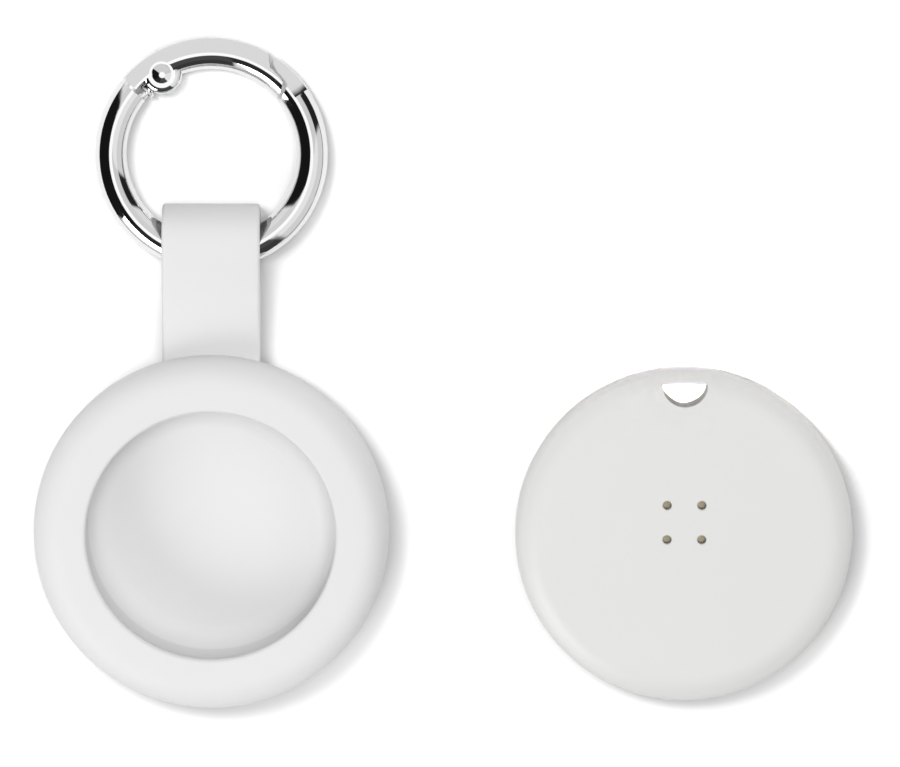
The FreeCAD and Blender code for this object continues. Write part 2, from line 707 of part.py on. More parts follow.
def ring_tilt():
    """Expression of the tilt that lays the ring's far end on the table."""
    drop = "strap_level - wire_radius - ring_lift"
    return "asin((%s) / (ring_radius + %s))" % (drop, hinge_to_centre())


def hinge_to_centre():
    """Expression of the distance from the flip line to the ring's centre."""
    return "((ring_radius + strap_chord)/2)"


def on_ring(item):
    """Put a piece made about the ring's own centre and plane in its resting place."""
    reach = hinge_to_centre()
    tilt = ring_tilt()
    item.Placement.Rotation = FreeCAD.Rotation(Vector(-1, 0, 0), 1)
    bind(item, Placement__Rotation__Angle=tilt,
         Placement__Base__y="hinge_y + %s*cos(%s)" % (reach, tilt),
         Placement__Base__z="strap_level - %s*sin(%s)" % (reach, tilt))
    return item


def sector(name, start, stop, radius="20"):
    """Tall wedge of a cylinder between two angles about the ring's centre."""
    item = solid("Cylinder", name, Radius=radius, Height="10", Angle="(%s)-(%s)" % (stop, start),
                 Placement__Base__z="-5")
    item.Placement.Rotation = FreeCAD.Rotation(Z_AXIS, 1)
    return bind(item, Placement__Rotation__Angle=start)


def disc(name, radius, half="5", x="0", y="0"):
    """Cylinder centred on the ring's middle plane."""
    return cylinder(name, radius, "-(%s)" % half, half, x, y)


def wire(name):
    """Whole round ring."""
    return solid("Torus", name, Radius1="ring_radius", Radius2="wire_radius")


def bar(name, start, stop, half_width, half_height, angle, x, y):
    """Box laid along a direction from a point, between two distances."""
    item = solid("Box", name, Length="(%s)-(%s)" % (stop, start), Width="2*(%s)" % half_width,
                 Height="2*(%s)" % half_height,
                 Placement__Base__x="%s + (%s)*cos(%s) + (%s)*sin(%s)" % (x, start, angle, half_width, angle),
                 Placement__Base__y="%s + (%s)*sin(%s) - (%s)*cos(%s)" % (y, start, angle, half_width, angle),
                 Placement__Base__z="-(%s)" % half_height)
    item.Placement.Rotation = FreeCAD.Rotation(Z_AXIS, 1)
    return bind(item, Placement__Rotation__Angle=angle)


def closing_shape(name, grow):
    """Gate's outline at its closing end: an end face and a thinner inner lip."""
    near = disc(name + "_near", "nose_reach + " + grow, "5", *RIVET)
    far = disc(name + "_far", "lip_reach + " + grow, "5", *RIVET)
    inside = disc(name + "_inside", "lip_split + " + grow)
    return boolean("Fuse", name, near, boolean("Common", name + "_lip", far, inside))


def ring_body():
    """Ring with its nose over the gate, a tongue for the rivet and the plunger's bore."""
    gap = boolean("Common", "gate_gap", closing_shape("nose_cut", "nose_gap"),
                  sector("gate_sector", "25", "hinge_face"))
    body = boolean("Cut", "ring_blank", wire("ring_wire"), gap)
    arm = boolean("Common", "tongue_arm",
                  boolean("Cut", "tongue_band", disc("tongue_outside", "tongue_outside", "tongue_half"),
                          disc("tongue_inside", "heel_inside", "2")),
                  sector("tongue_sector", "rivet_angle - 3", "hinge_face + 3"))
    tongue = boolean("Fuse", "tongue", arm, disc("tongue_end", "tongue_eye", "tongue_half", *RIVET))
    body = boolean("Fuse", "ring_with_tongue", body, tongue)
    body = boolean("Cut", "ring_bored", body, plunger_bar("plunger_bore", "bore_radius", "0.9", "bore_depth"))
    return on_ring(boolean("Cut", "ring_body", body, disc("tongue_hole", "rivet_radius", "5", *RIVET)))


def ring_gate():
    """Curved gate: inner lip at the closing end, slotted ear at the rivet."""
    start = boolean("Common", "gate_blank", wire("gate_wire"), sector("gate_span", "25", "heel_angle"))
    start = boolean("Common", "gate_trimmed", start, closing_shape("gate_close", "0"))
    relief = boolean("Common", "heel_relief", disc("heel_disc", "heel_inside"),
                     sector("heel_sector", "rivet_angle", "heel_angle + 5"))
    start = boolean("Cut", "gate_relieved", start, relief)
    start = boolean("Fuse", "gate_eared", start, disc("gate_ear", "ear_radius", "ear_half", *RIVET))
    flat = bar("heel_face", "heel_flat", "heel_flat + 1.2", "2.2", "5", "pin_angle + 90", *RIVET)
    start = boolean("Cut", "gate_heel", start, flat)
    room = "tongue_half + tongue_gap"
    slot = boolean("Fuse", "gate_slot", disc("slot_eye", "tongue_eye + 0.2", room, *RIVET),
                   bar("slot_open", "-0.9", "8", "6", room, "216", *RIVET))
    start = boolean("Cut", "gate_forked", start, slot)
    for name, side in (("seat_top", "seat_level"), ("seat_low", "-seat_level - 3")):
        start = boolean("Cut", "gate_" + name, start,
                        cylinder(name, "rivet_seat", side, side + " + 3", *RIVET))
    return on_ring(boolean("Cut", "ring_gate", start, disc("gate_hole", "rivet_radius + 0.05", "5", *RIVET)))


def gate_rivet():
    """Rivet with a round head on each side."""
    level = "seat_level + 0.03"
    shank = disc("rivet_shank", "rivet_radius", level, *RIVET)
    heads = boolean("Fuse", "rivet_heads",
                    cylinder("rivet_head_top", "rivet_head", level, level + " + head_height", *RIVET),
                    cylinder("rivet_head_low", "rivet_head", "-(%s) - head_height" % level,
                             "-(%s)" % level, *RIVET))
    return on_ring(boolean("Fuse", "gate_rivet", shank, heads))


def plunger_bar(name, radius, start, stop):
    """Round bar along the plunger's line, between two distances behind its nose."""
    nose = polar("pin_reach", "pin_angle")
    back = polar(start, "pin_angle + 90")
    item = solid("Cylinder", name, Radius=radius, Height="(%s)-(%s)" % (stop, start),
                 Placement__Base__x="%s + %s" % (nose[0], back[0]),
                 Placement__Base__y="%s + %s" % (nose[1], back[1]))
    turn = FreeCAD.Rotation(Z_AXIS, value("pin_angle + 90"))
    item.Placement.Rotation = turn.multiply(FreeCAD.Rotation(Vector(0, 1, 0), 90))
    return item


def gate_plunger():
    """Spring plunger: a head that bears on the gate's heel and a pin in the bore."""
    head = plunger_bar("plunger_head", "pin_head", "0", "pin_head_length")
    pin = plunger_bar("plunger_pin", "pin_radius", "pin_head_length", "pin_length")
    return on_ring(boolean("Fuse", "gate_plunger", head, pin))


def gate_spring():
    """Coil spring in the bore behind the plunger."""
    turn = FreeCAD.Rotation(Z_AXIS, value("pin_angle + 90"))
    along = turn.multiply(FreeCAD.Rotation(Vector(0, 1, 0), 90))
    start = turn.multVec(Vector(value("coil_start"), 0, 0))
    nose = Vector(value("pin_reach*cos(pin_angle)"), value("pin_reach*sin(pin_angle)"), 0)
    helix = Part.makeHelix(value("coil_pitch"), value("coil_length"), value("coil_radius"))
    round_wire = Part.makeCircle(value("coil_wire"), Vector(value("coil_radius"), 0, 0), Vector(0, 1, 0))
    section = Part.Wire(round_wire)
    coil = Part.Wire(helix.Edges).makePipeShell([section], True, True)
    coil.Placement = FreeCAD.Placement(nose + start, along)
    item = doc.addObject("Part::Feature", "gate_spring")
    item.Label = "gate_spring"
    item.Shape = coil
    tilt = FreeCAD.Rotation(Vector(-1, 0, 0), value(ring_tilt()))
    reach = value(hinge_to_centre())
    centre = Vector(0, value("hinge_y"), value("strap_level")) + tilt.multVec(Vector(0, reach, 0))
    item.Placement = FreeCAD.Placement(centre, tilt).multiply(coil.Placement)
    return item


# ---------------------------------------------------------------- writing

def check_document():
    """Stop if any object failed to build."""
    doc.recompute()
    for item in doc.Objects:
        if "Invalid" in item.State or "Error" in item.State:
            raise RuntimeError("%s did not build: %s" % (item.Label, item.State))


def write(parts):
    """Check each sub-part's shape and write it to its own file."""
    for part in parts:
        if part.Shape.isNull() or not part.Shape.isValid() or not part.Shape.Solids:
            raise RuntimeError(part.Label + " has no sound shape")
    os.makedirs("parts", exist_ok=True)
    for part in parts:
        part.Shape.exportStep("parts/%s.step" % part.Label)
        print("%-22s %2d solids %10.3f mm3" % (part.Label, len(part.Shape.Solids), part.Shape.Volume))


fill_sheet()
PARTS = [front_shell(), rear_shell(), battery_door(), door_seal(), coin_cell(), minus_spring(), plus_clips(),
         circuit_board(), *board_parts(), *sounder(), *push_switch(), holder_case(), strap_loop(),
         ring_body(), ring_gate(), gate_rivet(), gate_plunger(), gate_spring()]
check_document()
write(PARTS)
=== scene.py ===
"""Looks of a round tracker tag and its silicone holder on a spring-gate ring."""

import logging
import math
from dataclasses import dataclass
from enum import Enum
from typing import Any, Callable, Iterable, Sequence

import bpy
from mathutils import Matrix, Vector


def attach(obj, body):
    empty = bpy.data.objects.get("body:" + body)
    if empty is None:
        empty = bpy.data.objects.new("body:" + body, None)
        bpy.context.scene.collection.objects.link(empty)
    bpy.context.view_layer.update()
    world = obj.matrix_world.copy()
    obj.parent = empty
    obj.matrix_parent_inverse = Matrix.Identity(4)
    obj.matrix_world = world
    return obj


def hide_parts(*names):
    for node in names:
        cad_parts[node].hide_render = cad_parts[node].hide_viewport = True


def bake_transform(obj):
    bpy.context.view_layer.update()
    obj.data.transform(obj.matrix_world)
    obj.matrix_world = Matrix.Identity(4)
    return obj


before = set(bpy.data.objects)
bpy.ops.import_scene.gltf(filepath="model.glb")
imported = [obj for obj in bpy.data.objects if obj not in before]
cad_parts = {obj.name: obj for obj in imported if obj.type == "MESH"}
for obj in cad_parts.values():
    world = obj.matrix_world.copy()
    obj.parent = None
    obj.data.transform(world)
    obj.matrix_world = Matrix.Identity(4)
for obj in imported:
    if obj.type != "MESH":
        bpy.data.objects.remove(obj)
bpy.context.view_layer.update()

logging.basicConfig(level=logging.INFO, format="%(message)s")
LOG = logging.getLogger("tag")

MM = 0.001
Point = tuple[float, float]
Corner = tuple[float, float, float]
Colour = tuple[float, float, float]


class Solver(Enum):
    """How two solids are combined."""

    CUT = "DIFFERENCE"
    JOIN = "UNION"
    KEEP = "INTERSECT"


# ------------------------------------------------------------------ outlines


def polar(reach: float, degrees: float) -> Point:
    """Point at a distance and an angle from the origin."""
    turn = math.radians(degrees)
    return reach * math.cos(turn), reach * math.sin(turn)


def arc(centre: Point, reach: float, start: float, stop: float, steps: int) -> list[Point]:
    """Points along an arc.

    Args:
        centre: middle of the arc's circle.
        reach: its radius.
        start: first angle in degrees.
        stop: last angle in degrees.
        steps: number of points.

    Returns:
        The points, both ends included.
    """
    out = []
    for index in range(steps):
        x, y = polar(reach, start + (stop - start) * index / (steps - 1))
        out.append((centre[0] + x, centre[1] + y))
    return out


def circle(reach: float, steps: int) -> list[Point]:
    """Points round a circle about the origin, each once."""
    return arc((0, 0), reach, 0, 360 * (steps - 1) / steps, steps)


def rounded(corners: Sequence[Corner], steps: int) -> list[Point]:
    """Outline through corners, each rounded by its own radius.

    Args:
        corners: (x, y, radius) of each corner; radius 0 keeps it sharp.
        steps: points on each rounded corner.

    Returns:
        Points of the outline, open if its ends have no radius.
    """
    out: list[Point] = []
    count = len(corners)
    for index, (x, y, radius) in enumerate(corners):
        if radius <= 0:
            out.append((x, y))
            continue
        here = Vector((x, y))
        back = (Vector(corners[index - 1][:2]) - here).normalized()
        ahead = (Vector(corners[(index + 1) % count][:2]) - here).normalized()
        half = back.angle(ahead) / 2
        middle = here + (back + ahead).normalized() * (radius / math.sin(half))
        first = here + back * (radius / math.tan(half)) - middle
        last = here + ahead * (radius / math.tan(half)) - middle
        low = math.atan2(first.y, first.x)
        sweep = (math.atan2(last.y, last.x) - low + math.pi) % (2 * math.pi) - math.pi
        for step in range(steps):
            turn = low + sweep * step / (steps - 1)
            out.append((middle.x + radius * math.cos(turn), middle.y + radius * math.sin(turn)))
    return out


# ------------------------------------------------------------------ modelling


class Bench:
    """Modelling steps, in millimetres, shared by all the pieces."""

    level_slack = 1e-5
    merge_gap = 1e-4
    sliver = 0.002
    rim_steps = 5
    hole_sides = 12

    @staticmethod
    def clear() -> None:
        """Leave edit mode and select nothing."""
        if bpy.context.mode != "OBJECT":
            bpy.ops.object.mode_set(mode="OBJECT")
        bpy.ops.object.select_all(action="DESELECT")

    @staticmethod
    def grip(obj: bpy.types.Object) -> None:
        """Make one object the only selected and active one.

        Args:
            obj: the object to take up.
        """
        Bench.clear()
        obj.select_set(True)
        bpy.context.view_layer.objects.active = obj

    @staticmethod
    def draw(name: str, points: Sequence[Sequence[float]]) -> bpy.types.Object:
        """Pull one vertex out along a line of points and stay in edit mode.

        Args:
            name: name of the new object.
            points: three coordinates of each point.

        Returns:
            The object, with the line of edges as its mesh.
        """
        Bench.clear()
        bpy.ops.mesh.primitive_plane_add(size=1)
        obj = bpy.context.object
        obj.name = name
        bpy.ops.object.mode_set(mode="EDIT")
        bpy.ops.mesh.select_mode(type="VERT")
        bpy.ops.mesh.select_all(action="SELECT")
        bpy.ops.mesh.merge(type="CENTER")
        bpy.ops.transform.translate(value=points[0])
        for before, after in zip(points, points[1:]):
            step = [b - a for a, b in zip(before, after)]
            bpy.ops.mesh.extrude_region_move(TRANSFORM_OT_translate={"value": step})
        bpy.ops.mesh.select_all(action="SELECT")
        return obj

    @staticmethod
    def lathe(name: str, outline: Sequence[Point], steps: int = 192) -> bpy.types.Object:
        """Spin an outline of (radius, height) about the upright axis.

        Args:
            name: name of the piece.
            outline: points from axis to axis, or a closed loop whose last point is its first.
            steps: facets round the axis.

        Returns:
            The closed solid.
        """
        obj = Bench.draw(name, [(r, 0.0, z) for r, z in outline])
        bpy.ops.mesh.spin(steps=steps, angle=2 * math.pi, center=(0, 0, 0), axis=(0, 0, 1))
        bpy.ops.mesh.select_all(action="SELECT")
        bpy.ops.mesh.remove_doubles(threshold=Bench.merge_gap)
        bpy.ops.mesh.normals_make_consistent(inside=False)
        bpy.ops.object.mode_set(mode="OBJECT")
        return obj

    @staticmethod
    def prism(name: str, outline: Sequence[Point], low: float, high: float,
              edge: float = 0.0) -> bpy.types.Object:
        """Extrude a flat outline upwards and round its two rims.

        Args:
            name: name of the piece.
            outline: points of the closed outline.
            low: lower level.
            high: upper level.
            edge: radius of the rims.

        Returns:
            The closed solid.
        """
        obj = Bench.draw(name, [(x, y, low) for x, y in outline])
        bpy.ops.mesh.edge_face_add()
        bpy.ops.mesh.extrude_region_move(TRANSFORM_OT_translate={"value": (0, 0, high - low)})
        bpy.ops.mesh.select_all(action="SELECT")
        bpy.ops.mesh.normals_make_consistent(inside=False)
        if edge:
            Bench.pick_edges(obj, lambda a, b: abs(a.z - b.z) < Bench.level_slack)
            bpy.ops.mesh.bevel(offset=edge, segments=Bench.rim_steps, affect="EDGES")
        bpy.ops.object.mode_set(mode="OBJECT")
        return obj

    @staticmethod
    def pick_edges(obj: bpy.types.Object, test: Callable[[Vector, Vector], bool]) -> None:
        """Select the edges whose ends pass a test and stay in edit mode.

        Args:
            obj: the object in work.
            test: says from an edge's two ends whether it is wanted.
        """
        bpy.ops.object.mode_set(mode="EDIT")
        bpy.ops.mesh.select_mode(type="EDGE")
        bpy.ops.mesh.select_all(action="DESELECT")
        bpy.ops.object.mode_set(mode="OBJECT")
        points = obj.data.vertices
        for edge in obj.data.edges:
            edge.select = test(*(points[end].co for end in edge.vertices))
        bpy.ops.object.mode_set(mode="EDIT")

    @staticmethod
    def combine(obj: bpy.types.Object, tool: bpy.types.Object, how: Solver) -> bpy.types.Object:
        """Cut, join or intersect with a tool, which is used up.

        Args:
            obj: the solid in work.
            tool: the solid that works on it.
            how: what is done with the two.

        Returns:
            The solid in work.
        """
        Bench.grip(obj)
        step = obj.modifiers.new(how.name, "BOOLEAN")
        step.object = tool
        step.operation = how.value
        step.solver = "EXACT"
        bpy.ops.object.modifier_apply(modifier=step.name)
        bpy.data.objects.remove(tool)
        return obj

    @staticmethod
    def soften(obj: bpy.types.Object, width: float, angle: float, segments: int = 2) -> None:
        """Round every edge sharper than an angle.

        Args:
            obj: the solid in work.
            width: width of the rounding.
            angle: degrees between two faces above which their edge is rounded.
            segments: facets across the rounding.
        """
        Bench.grip(obj)
        step = obj.modifiers.new("edges", "BEVEL")
        step.width = width
        step.segments = segments
        step.limit_method = "ANGLE"
        step.angle_limit = math.radians(angle)
        step.use_clamp_overlap = True
        bpy.ops.object.modifier_apply(modifier=step.name)
        Bench.mend(obj)

    @staticmethod
    def mend(obj: bpy.types.Object) -> None:
        """Remove slivers and close the holes they leave.

        Args:
            obj: the solid in work.
        """
        Bench.grip(obj)
        bpy.ops.object.mode_set(mode="EDIT")
        bpy.ops.mesh.select_mode(type="VERT")
        bpy.ops.mesh.select_all(action="SELECT")
        bpy.ops.mesh.remove_doubles(threshold=Bench.sliver)
        bpy.ops.mesh.dissolve_degenerate(threshold=Bench.sliver)
        bpy.ops.mesh.select_all(action="DESELECT")
        bpy.ops.mesh.select_non_manifold()
        bpy.ops.mesh.fill_holes(sides=Bench.hole_sides)
        bpy.ops.mesh.select_all(action="SELECT")
        bpy.ops.mesh.normals_make_consistent(inside=False)
        bpy.ops.object.mode_set(mode="OBJECT")

    @staticmethod
    def settle(obj: bpy.types.Object, place: Matrix, smooth: float) -> bpy.types.Object:
        """Put a finished piece in its place and in metres, and smooth its shading.

        Args:
            obj: the piece, modelled in millimetres.
            place: its place in the frame, in millimetres.
            smooth: edges flatter than this angle shade smoothly.

        Returns:
            The piece, at the origin with its place in its mesh.
        """
        Bench.grip(obj)
        obj.matrix_world = Matrix.Scale(MM, 4) @ place @ obj.matrix_world
        bpy.ops.object.transform_apply(location=True, rotation=True, scale=True)
        bpy.ops.object.shade_smooth_by_angle(angle=math.radians(smooth))
        obj.select_set(False)
        LOG.info("%-18s %7d faces", obj.name, len(obj.data.polygons))
        return obj


# ------------------------------------------------------------------ shader maths


class Value:
    """Socket of a shader node that takes part in Python expressions."""

    def __init__(self, graph: "Graph", socket: bpy.types.NodeSocket) -> None:
        """Keep the graph and the socket."""
        self.graph = graph
        self.socket = socket

    def _sum(self, kind: str, *terms: "Value | float") -> "Value":
        """Math node of a kind on the terms."""
        inputs = {index: term for index, term in enumerate(terms)}
        return self.graph.add("ShaderNodeMath", {"operation": kind}, inputs)

    def __add__(self, other: "Value | float") -> "Value":
        """Sum."""
        return self._sum("ADD", self, other)

    __radd__ = __add__

    def __mul__(self, other: "Value | float") -> "Value":
        """Product."""
        return self._sum("MULTIPLY", self, other)

    __rmul__ = __mul__


class Graph:
    """Node tree of a material or of the world."""

    def __init__(self, owner: bpy.types.Material | bpy.types.World) -> None:
        """Switch the owner to nodes and start from its tree.

        Args:
            owner: the material or world whose nodes are built.
        """
        owner.use_nodes = True
        self.owner = owner
        self.tree = owner.node_tree
        self.shader = next(n for n in self.tree.nodes if n.type in ("BSDF_PRINCIPLED", "BACKGROUND"))
        self.place: Value | None = None

    @classmethod
    def of_material(cls, name: str) -> "Graph":
        """Graph of a new material with the piece's own coordinates at hand.

        Args:
            name: name of the material.

        Returns:
            The graph.
        """
        graph = cls(bpy.data.materials.new(name))
        graph.place = graph.add("ShaderNodeTexCoord", {}, {}, "Object")
        return graph

    def add(self, kind: str, settings: dict[str, Any], inputs: dict[Any, Any],
            output: str | int = 0) -> Value:
        """Add a node.

        Args:
            kind: node type.
            settings: properties set before the sockets, a ramp's stops under "stops".
            inputs: a value or a link for each named or numbered socket.
            output: the output wanted.

        Returns:
            That output.
        """
        node = self.tree.nodes.new(kind)
        for name, value in settings.items():
            if name == "stops":
                self._stops(node.color_ramp, value)
            else:
                setattr(node, name, value)
        for name, value in inputs.items():
            if isinstance(value, Value):
                self.tree.links.new(value.socket, node.inputs[name])
            else:
                node.inputs[name].default_value = value
        return Value(self, node.outputs[output])

    @staticmethod
    def _stops(ramp: bpy.types.ColorRamp, stops: Sequence[tuple[float, Sequence[float]]]) -> None:
        """Set a colour ramp's stops.

        Args:
            ramp: the ramp, new and with two stops.
            stops: position and colour of each stop.
        """
        while len(ramp.elements) < len(stops):
            ramp.elements.new(1.0)
        for element, (position, colour) in zip(ramp.elements, stops):
            element.position = position
            element.color = (*colour, 1.0)

    def noise(self, scale: float, detail: float, roughness: float = 0.55) -> Value:
        """Even noise on the piece's own coordinates."""
        return self.add("ShaderNodeTexNoise", {}, {
            "Vector": self.place, "Scale": scale, "Detail": detail, "Roughness": roughness})

    def mix(self, mask: Value, first: Any, second: Any) -> Value:
        """Colour between two colours or links by a mask."""
        return self.add("ShaderNodeMix", {"data_type": "RGBA"}, {0: mask, 6: first, 7: second}, 2)

    def blend(self, mask: Value, first: Colour, second: Colour) -> Value:
        """Colour between two plain colours by a mask."""
        return self.mix(mask, (*first, 1.0), (*second, 1.0))

    def bump(self, height: Value, strength: float, distance: float) -> Value:
        """Normal tilted by a height."""
        return self.add("ShaderNodeBump", {}, {
            "Height": height, "Strength": strength, "Distance": distance})

    def dress(self, **sockets: Any) -> bpy.types.Material:
        """Set or link sockets of the shader, underscores standing for spaces.

        Args:
            **sockets: a value or a link for each socket.

        Returns:
            The graph's owner, finished.
        """
        for name, value in sockets.items():
            socket = self.shader.inputs[name.replace("_", " ")]
            if isinstance(value, Value):
                self.tree.links.new(value.socket, socket)
            else:
                socket.default_value = value
        return self.owner


@dataclass(frozen=True)
class MatteMoulding:
    """Soft or hard moulding with a fine, even, matt surface."""

    name: str
    light: Colour
    shade: Colour
    rough: float
    cloud: float = 90.0
    grain: float = 5200.0
    cloud_gloss: float = 0.08
    grain_gloss: float = 0.06
    relief: float = 0.05
    depth: float = 0.00006
    sheen: float = 0.0
    scatter: float = 0.0
    scatter_depth: float = 0.0012
    scatter_tint: Colour = (1.0, 0.95, 0.9)
    # hollow, painted_light_fade and inside: painted light, a paler colour within a radius of the piece's
    # axis that lifts the shade in the holder's bowl.
    hollow: float = 0.0
    painted_light_fade: float = 0.0002
    inside: Colour = (0.0, 0.0, 0.0)

    def build(self) -> bpy.types.Material:
        """Build the material: cloudy colour, uneven gloss and a fine grain.

        Returns:
            The material, with painted light if it has a hollow: paler within the hollow's radius, to lift
            the shade in the holder's bowl.
        """
        graph = Graph.of_material(self.name)
        cloud = graph.noise(self.cloud, 4.0)
        grain = graph.noise(self.grain, 2.0)
        colour = graph.blend(cloud, self.shade, self.light)
        # Painted light: within the hollow's radius the colour turns to the paler inside colour, which lifts
        # the shade in the holder's bowl.
        if self.hollow:
            level = graph.add("ShaderNodeVectorMath", {"operation": "MULTIPLY"}, {
                0: graph.place, 1: (1.0, 1.0, 0.0)})
            reach = graph.add("ShaderNodeVectorMath", {"operation": "LENGTH"}, {0: level}, "Value")
            within = graph.add("ShaderNodeMapRange", {}, {
                "Value": reach, "From Min": self.hollow, "From Max": self.hollow - self.painted_light_fade})
            colour = graph.mix(within, colour, (*self.inside, 1.0))
        steady = self.rough - (self.cloud_gloss + self.grain_gloss) / 2
        rough = cloud * self.cloud_gloss + grain * self.grain_gloss + steady
        return graph.dress(
            Base_Color=colour, Roughness=rough, Normal=graph.bump(grain, self.relief, self.depth),
            Sheen_Weight=self.sheen, Subsurface_Weight=self.scatter,
            Subsurface_Scale=self.scatter_depth, Subsurface_Radius=self.scatter_tint)


@dataclass(frozen=True)
class PolishedMetal:
    """Plated or rolled metal."""

    name: str
    light: Colour
    shade: Colour
    rough: float
    wave: float = 260.0
    relief: float = 0.12
    depth: float = 0.0002
    scratch: float = 2600.0
    wear_gloss: float = 0.05
    wear_least: float = 0.02

    def build(self) -> bpy.types.Material:
        """Build the material: slow waves in the polish and fine wear in the gloss.

        Returns:
            The material.
        """
        graph = Graph.of_material(self.name)
        wave = graph.noise(self.wave, 2.0)
        wear = graph.noise(self.scratch, 5.0, 0.7)
        colour = graph.blend(wear, self.shade, self.light)
        rough = wear * self.wear_gloss + (self.rough - self.wear_least)
        normal = graph.bump(wave, self.relief, self.depth)
        return graph.dress(Base_Color=colour, Metallic=1.0, Roughness=rough, Normal=normal)


@dataclass(frozen=True)
class BoardLacquer:
    """Green solder mask with faint tracks under it."""

    name: str = "board_lacquer"
    mask: Colour = (0.015, 0.11, 0.045)
    track: Colour = (0.04, 0.2, 0.08)
    rough: float = 0.28
    pitch: float = 420.0
    track_width: float = 0.08
    relief: float = 0.3
    depth: float = 0.00004

    def build(self) -> bpy.types.Material:
        """Build the material: brick-like tracks under gloss lacquer.

        Returns:
            The material.
        """
        graph = Graph.of_material(self.name)
        tracks = graph.add("ShaderNodeTexBrick", {}, {
            "Vector": graph.place, "Scale": self.pitch, "Mortar Size": self.track_width,
            "Mortar": (1, 1, 1, 1), "Color1": (0, 0, 0, 1), "Color2": (0, 0, 0, 1)}, "Fac")
        colour = graph.blend(tracks, self.mask, self.track)
        normal = graph.bump(tracks, self.relief, self.depth)
        return graph.dress(Base_Color=colour, Roughness=self.rough, Normal=normal)


class Finishes:
    """All the materials, each built once."""

    def __init__(self) -> None:
        """Build the finishes by name."""
        # The silicone's hollow and inside colour are painted light: a paler colour within the bowl's radius
        # that lifts its shade.
        white = MatteMoulding(
            "silicone_white", (0.60, 0.60, 0.60), (0.585, 0.585, 0.585), 0.62, sheen=0.05, scatter=0.12,
            hollow=0.0141, inside=(0.675, 0.675, 0.675))
        plastic = MatteMoulding(
            "tag_plastic", (0.575, 0.575, 0.565), (0.56, 0.56, 0.55), 0.44, relief=0.12)
        chrome = PolishedMetal("ring_chrome", (0.74, 0.74, 0.745), (0.70, 0.70, 0.705), 0.04)
        black = MatteMoulding("chip_black", (0.03, 0.03, 0.032), (0.02, 0.02, 0.022), 0.5)
        nickel = PolishedMetal("contact_nickel", (0.72, 0.7, 0.66), (0.6, 0.58, 0.54), 0.25)
        steel = PolishedMetal("cell_steel", (0.66, 0.66, 0.66), (0.55, 0.55, 0.55), 0.3, relief=0.05)
        brass = PolishedMetal("sounder_brass", (0.66, 0.58, 0.44), (0.5, 0.43, 0.3), 0.35)
        ceramic = MatteMoulding("pale_ceramic", (0.8, 0.79, 0.75), (0.7, 0.69, 0.64), 0.45)
        tan = MatteMoulding("passive_ceramic", (0.5, 0.36, 0.22), (0.38, 0.26, 0.15), 0.4)
        foam = MatteMoulding("sounder_foam", (0.07, 0.07, 0.07), (0.03, 0.03, 0.03), 0.9,
                             grain=2600.0, relief=0.8)
        rubber = MatteMoulding("seal_rubber", (0.03, 0.03, 0.03), (0.02, 0.02, 0.02), 0.5)
        lamp = MatteMoulding("lamp_plastic", (0.9, 0.9, 0.8), (0.82, 0.82, 0.7), 0.2)
        grey = MatteMoulding("plunger_plastic", (0.62, 0.62, 0.62), (0.5, 0.5, 0.5), 0.4)
        parts = (white, plastic, chrome, black, nickel, steel, brass, ceramic, tan, foam, rubber,
                 lamp, grey, BoardLacquer())
        self.made = {part.name: part.build() for part in parts}

    def put(self, obj: bpy.types.Object, name: str) -> None:
        """Give a new piece a finish.

        Args:
            obj: the new piece.
            name: the finish.
        """
        obj.data.materials.clear()
        obj.data.materials.append(self.made[name])

    def dress_node(self, node: str, name: str) -> None:
        """Give a carried-over part a finish.

        Args:
            node: the part's node in the frame.
            name: the finish.
        """
        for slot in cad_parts[node].material_slots:
            slot.material = self.made[name]
        LOG.info("%-18s finish %s", node, name)


# ------------------------------------------------------------------ the holder


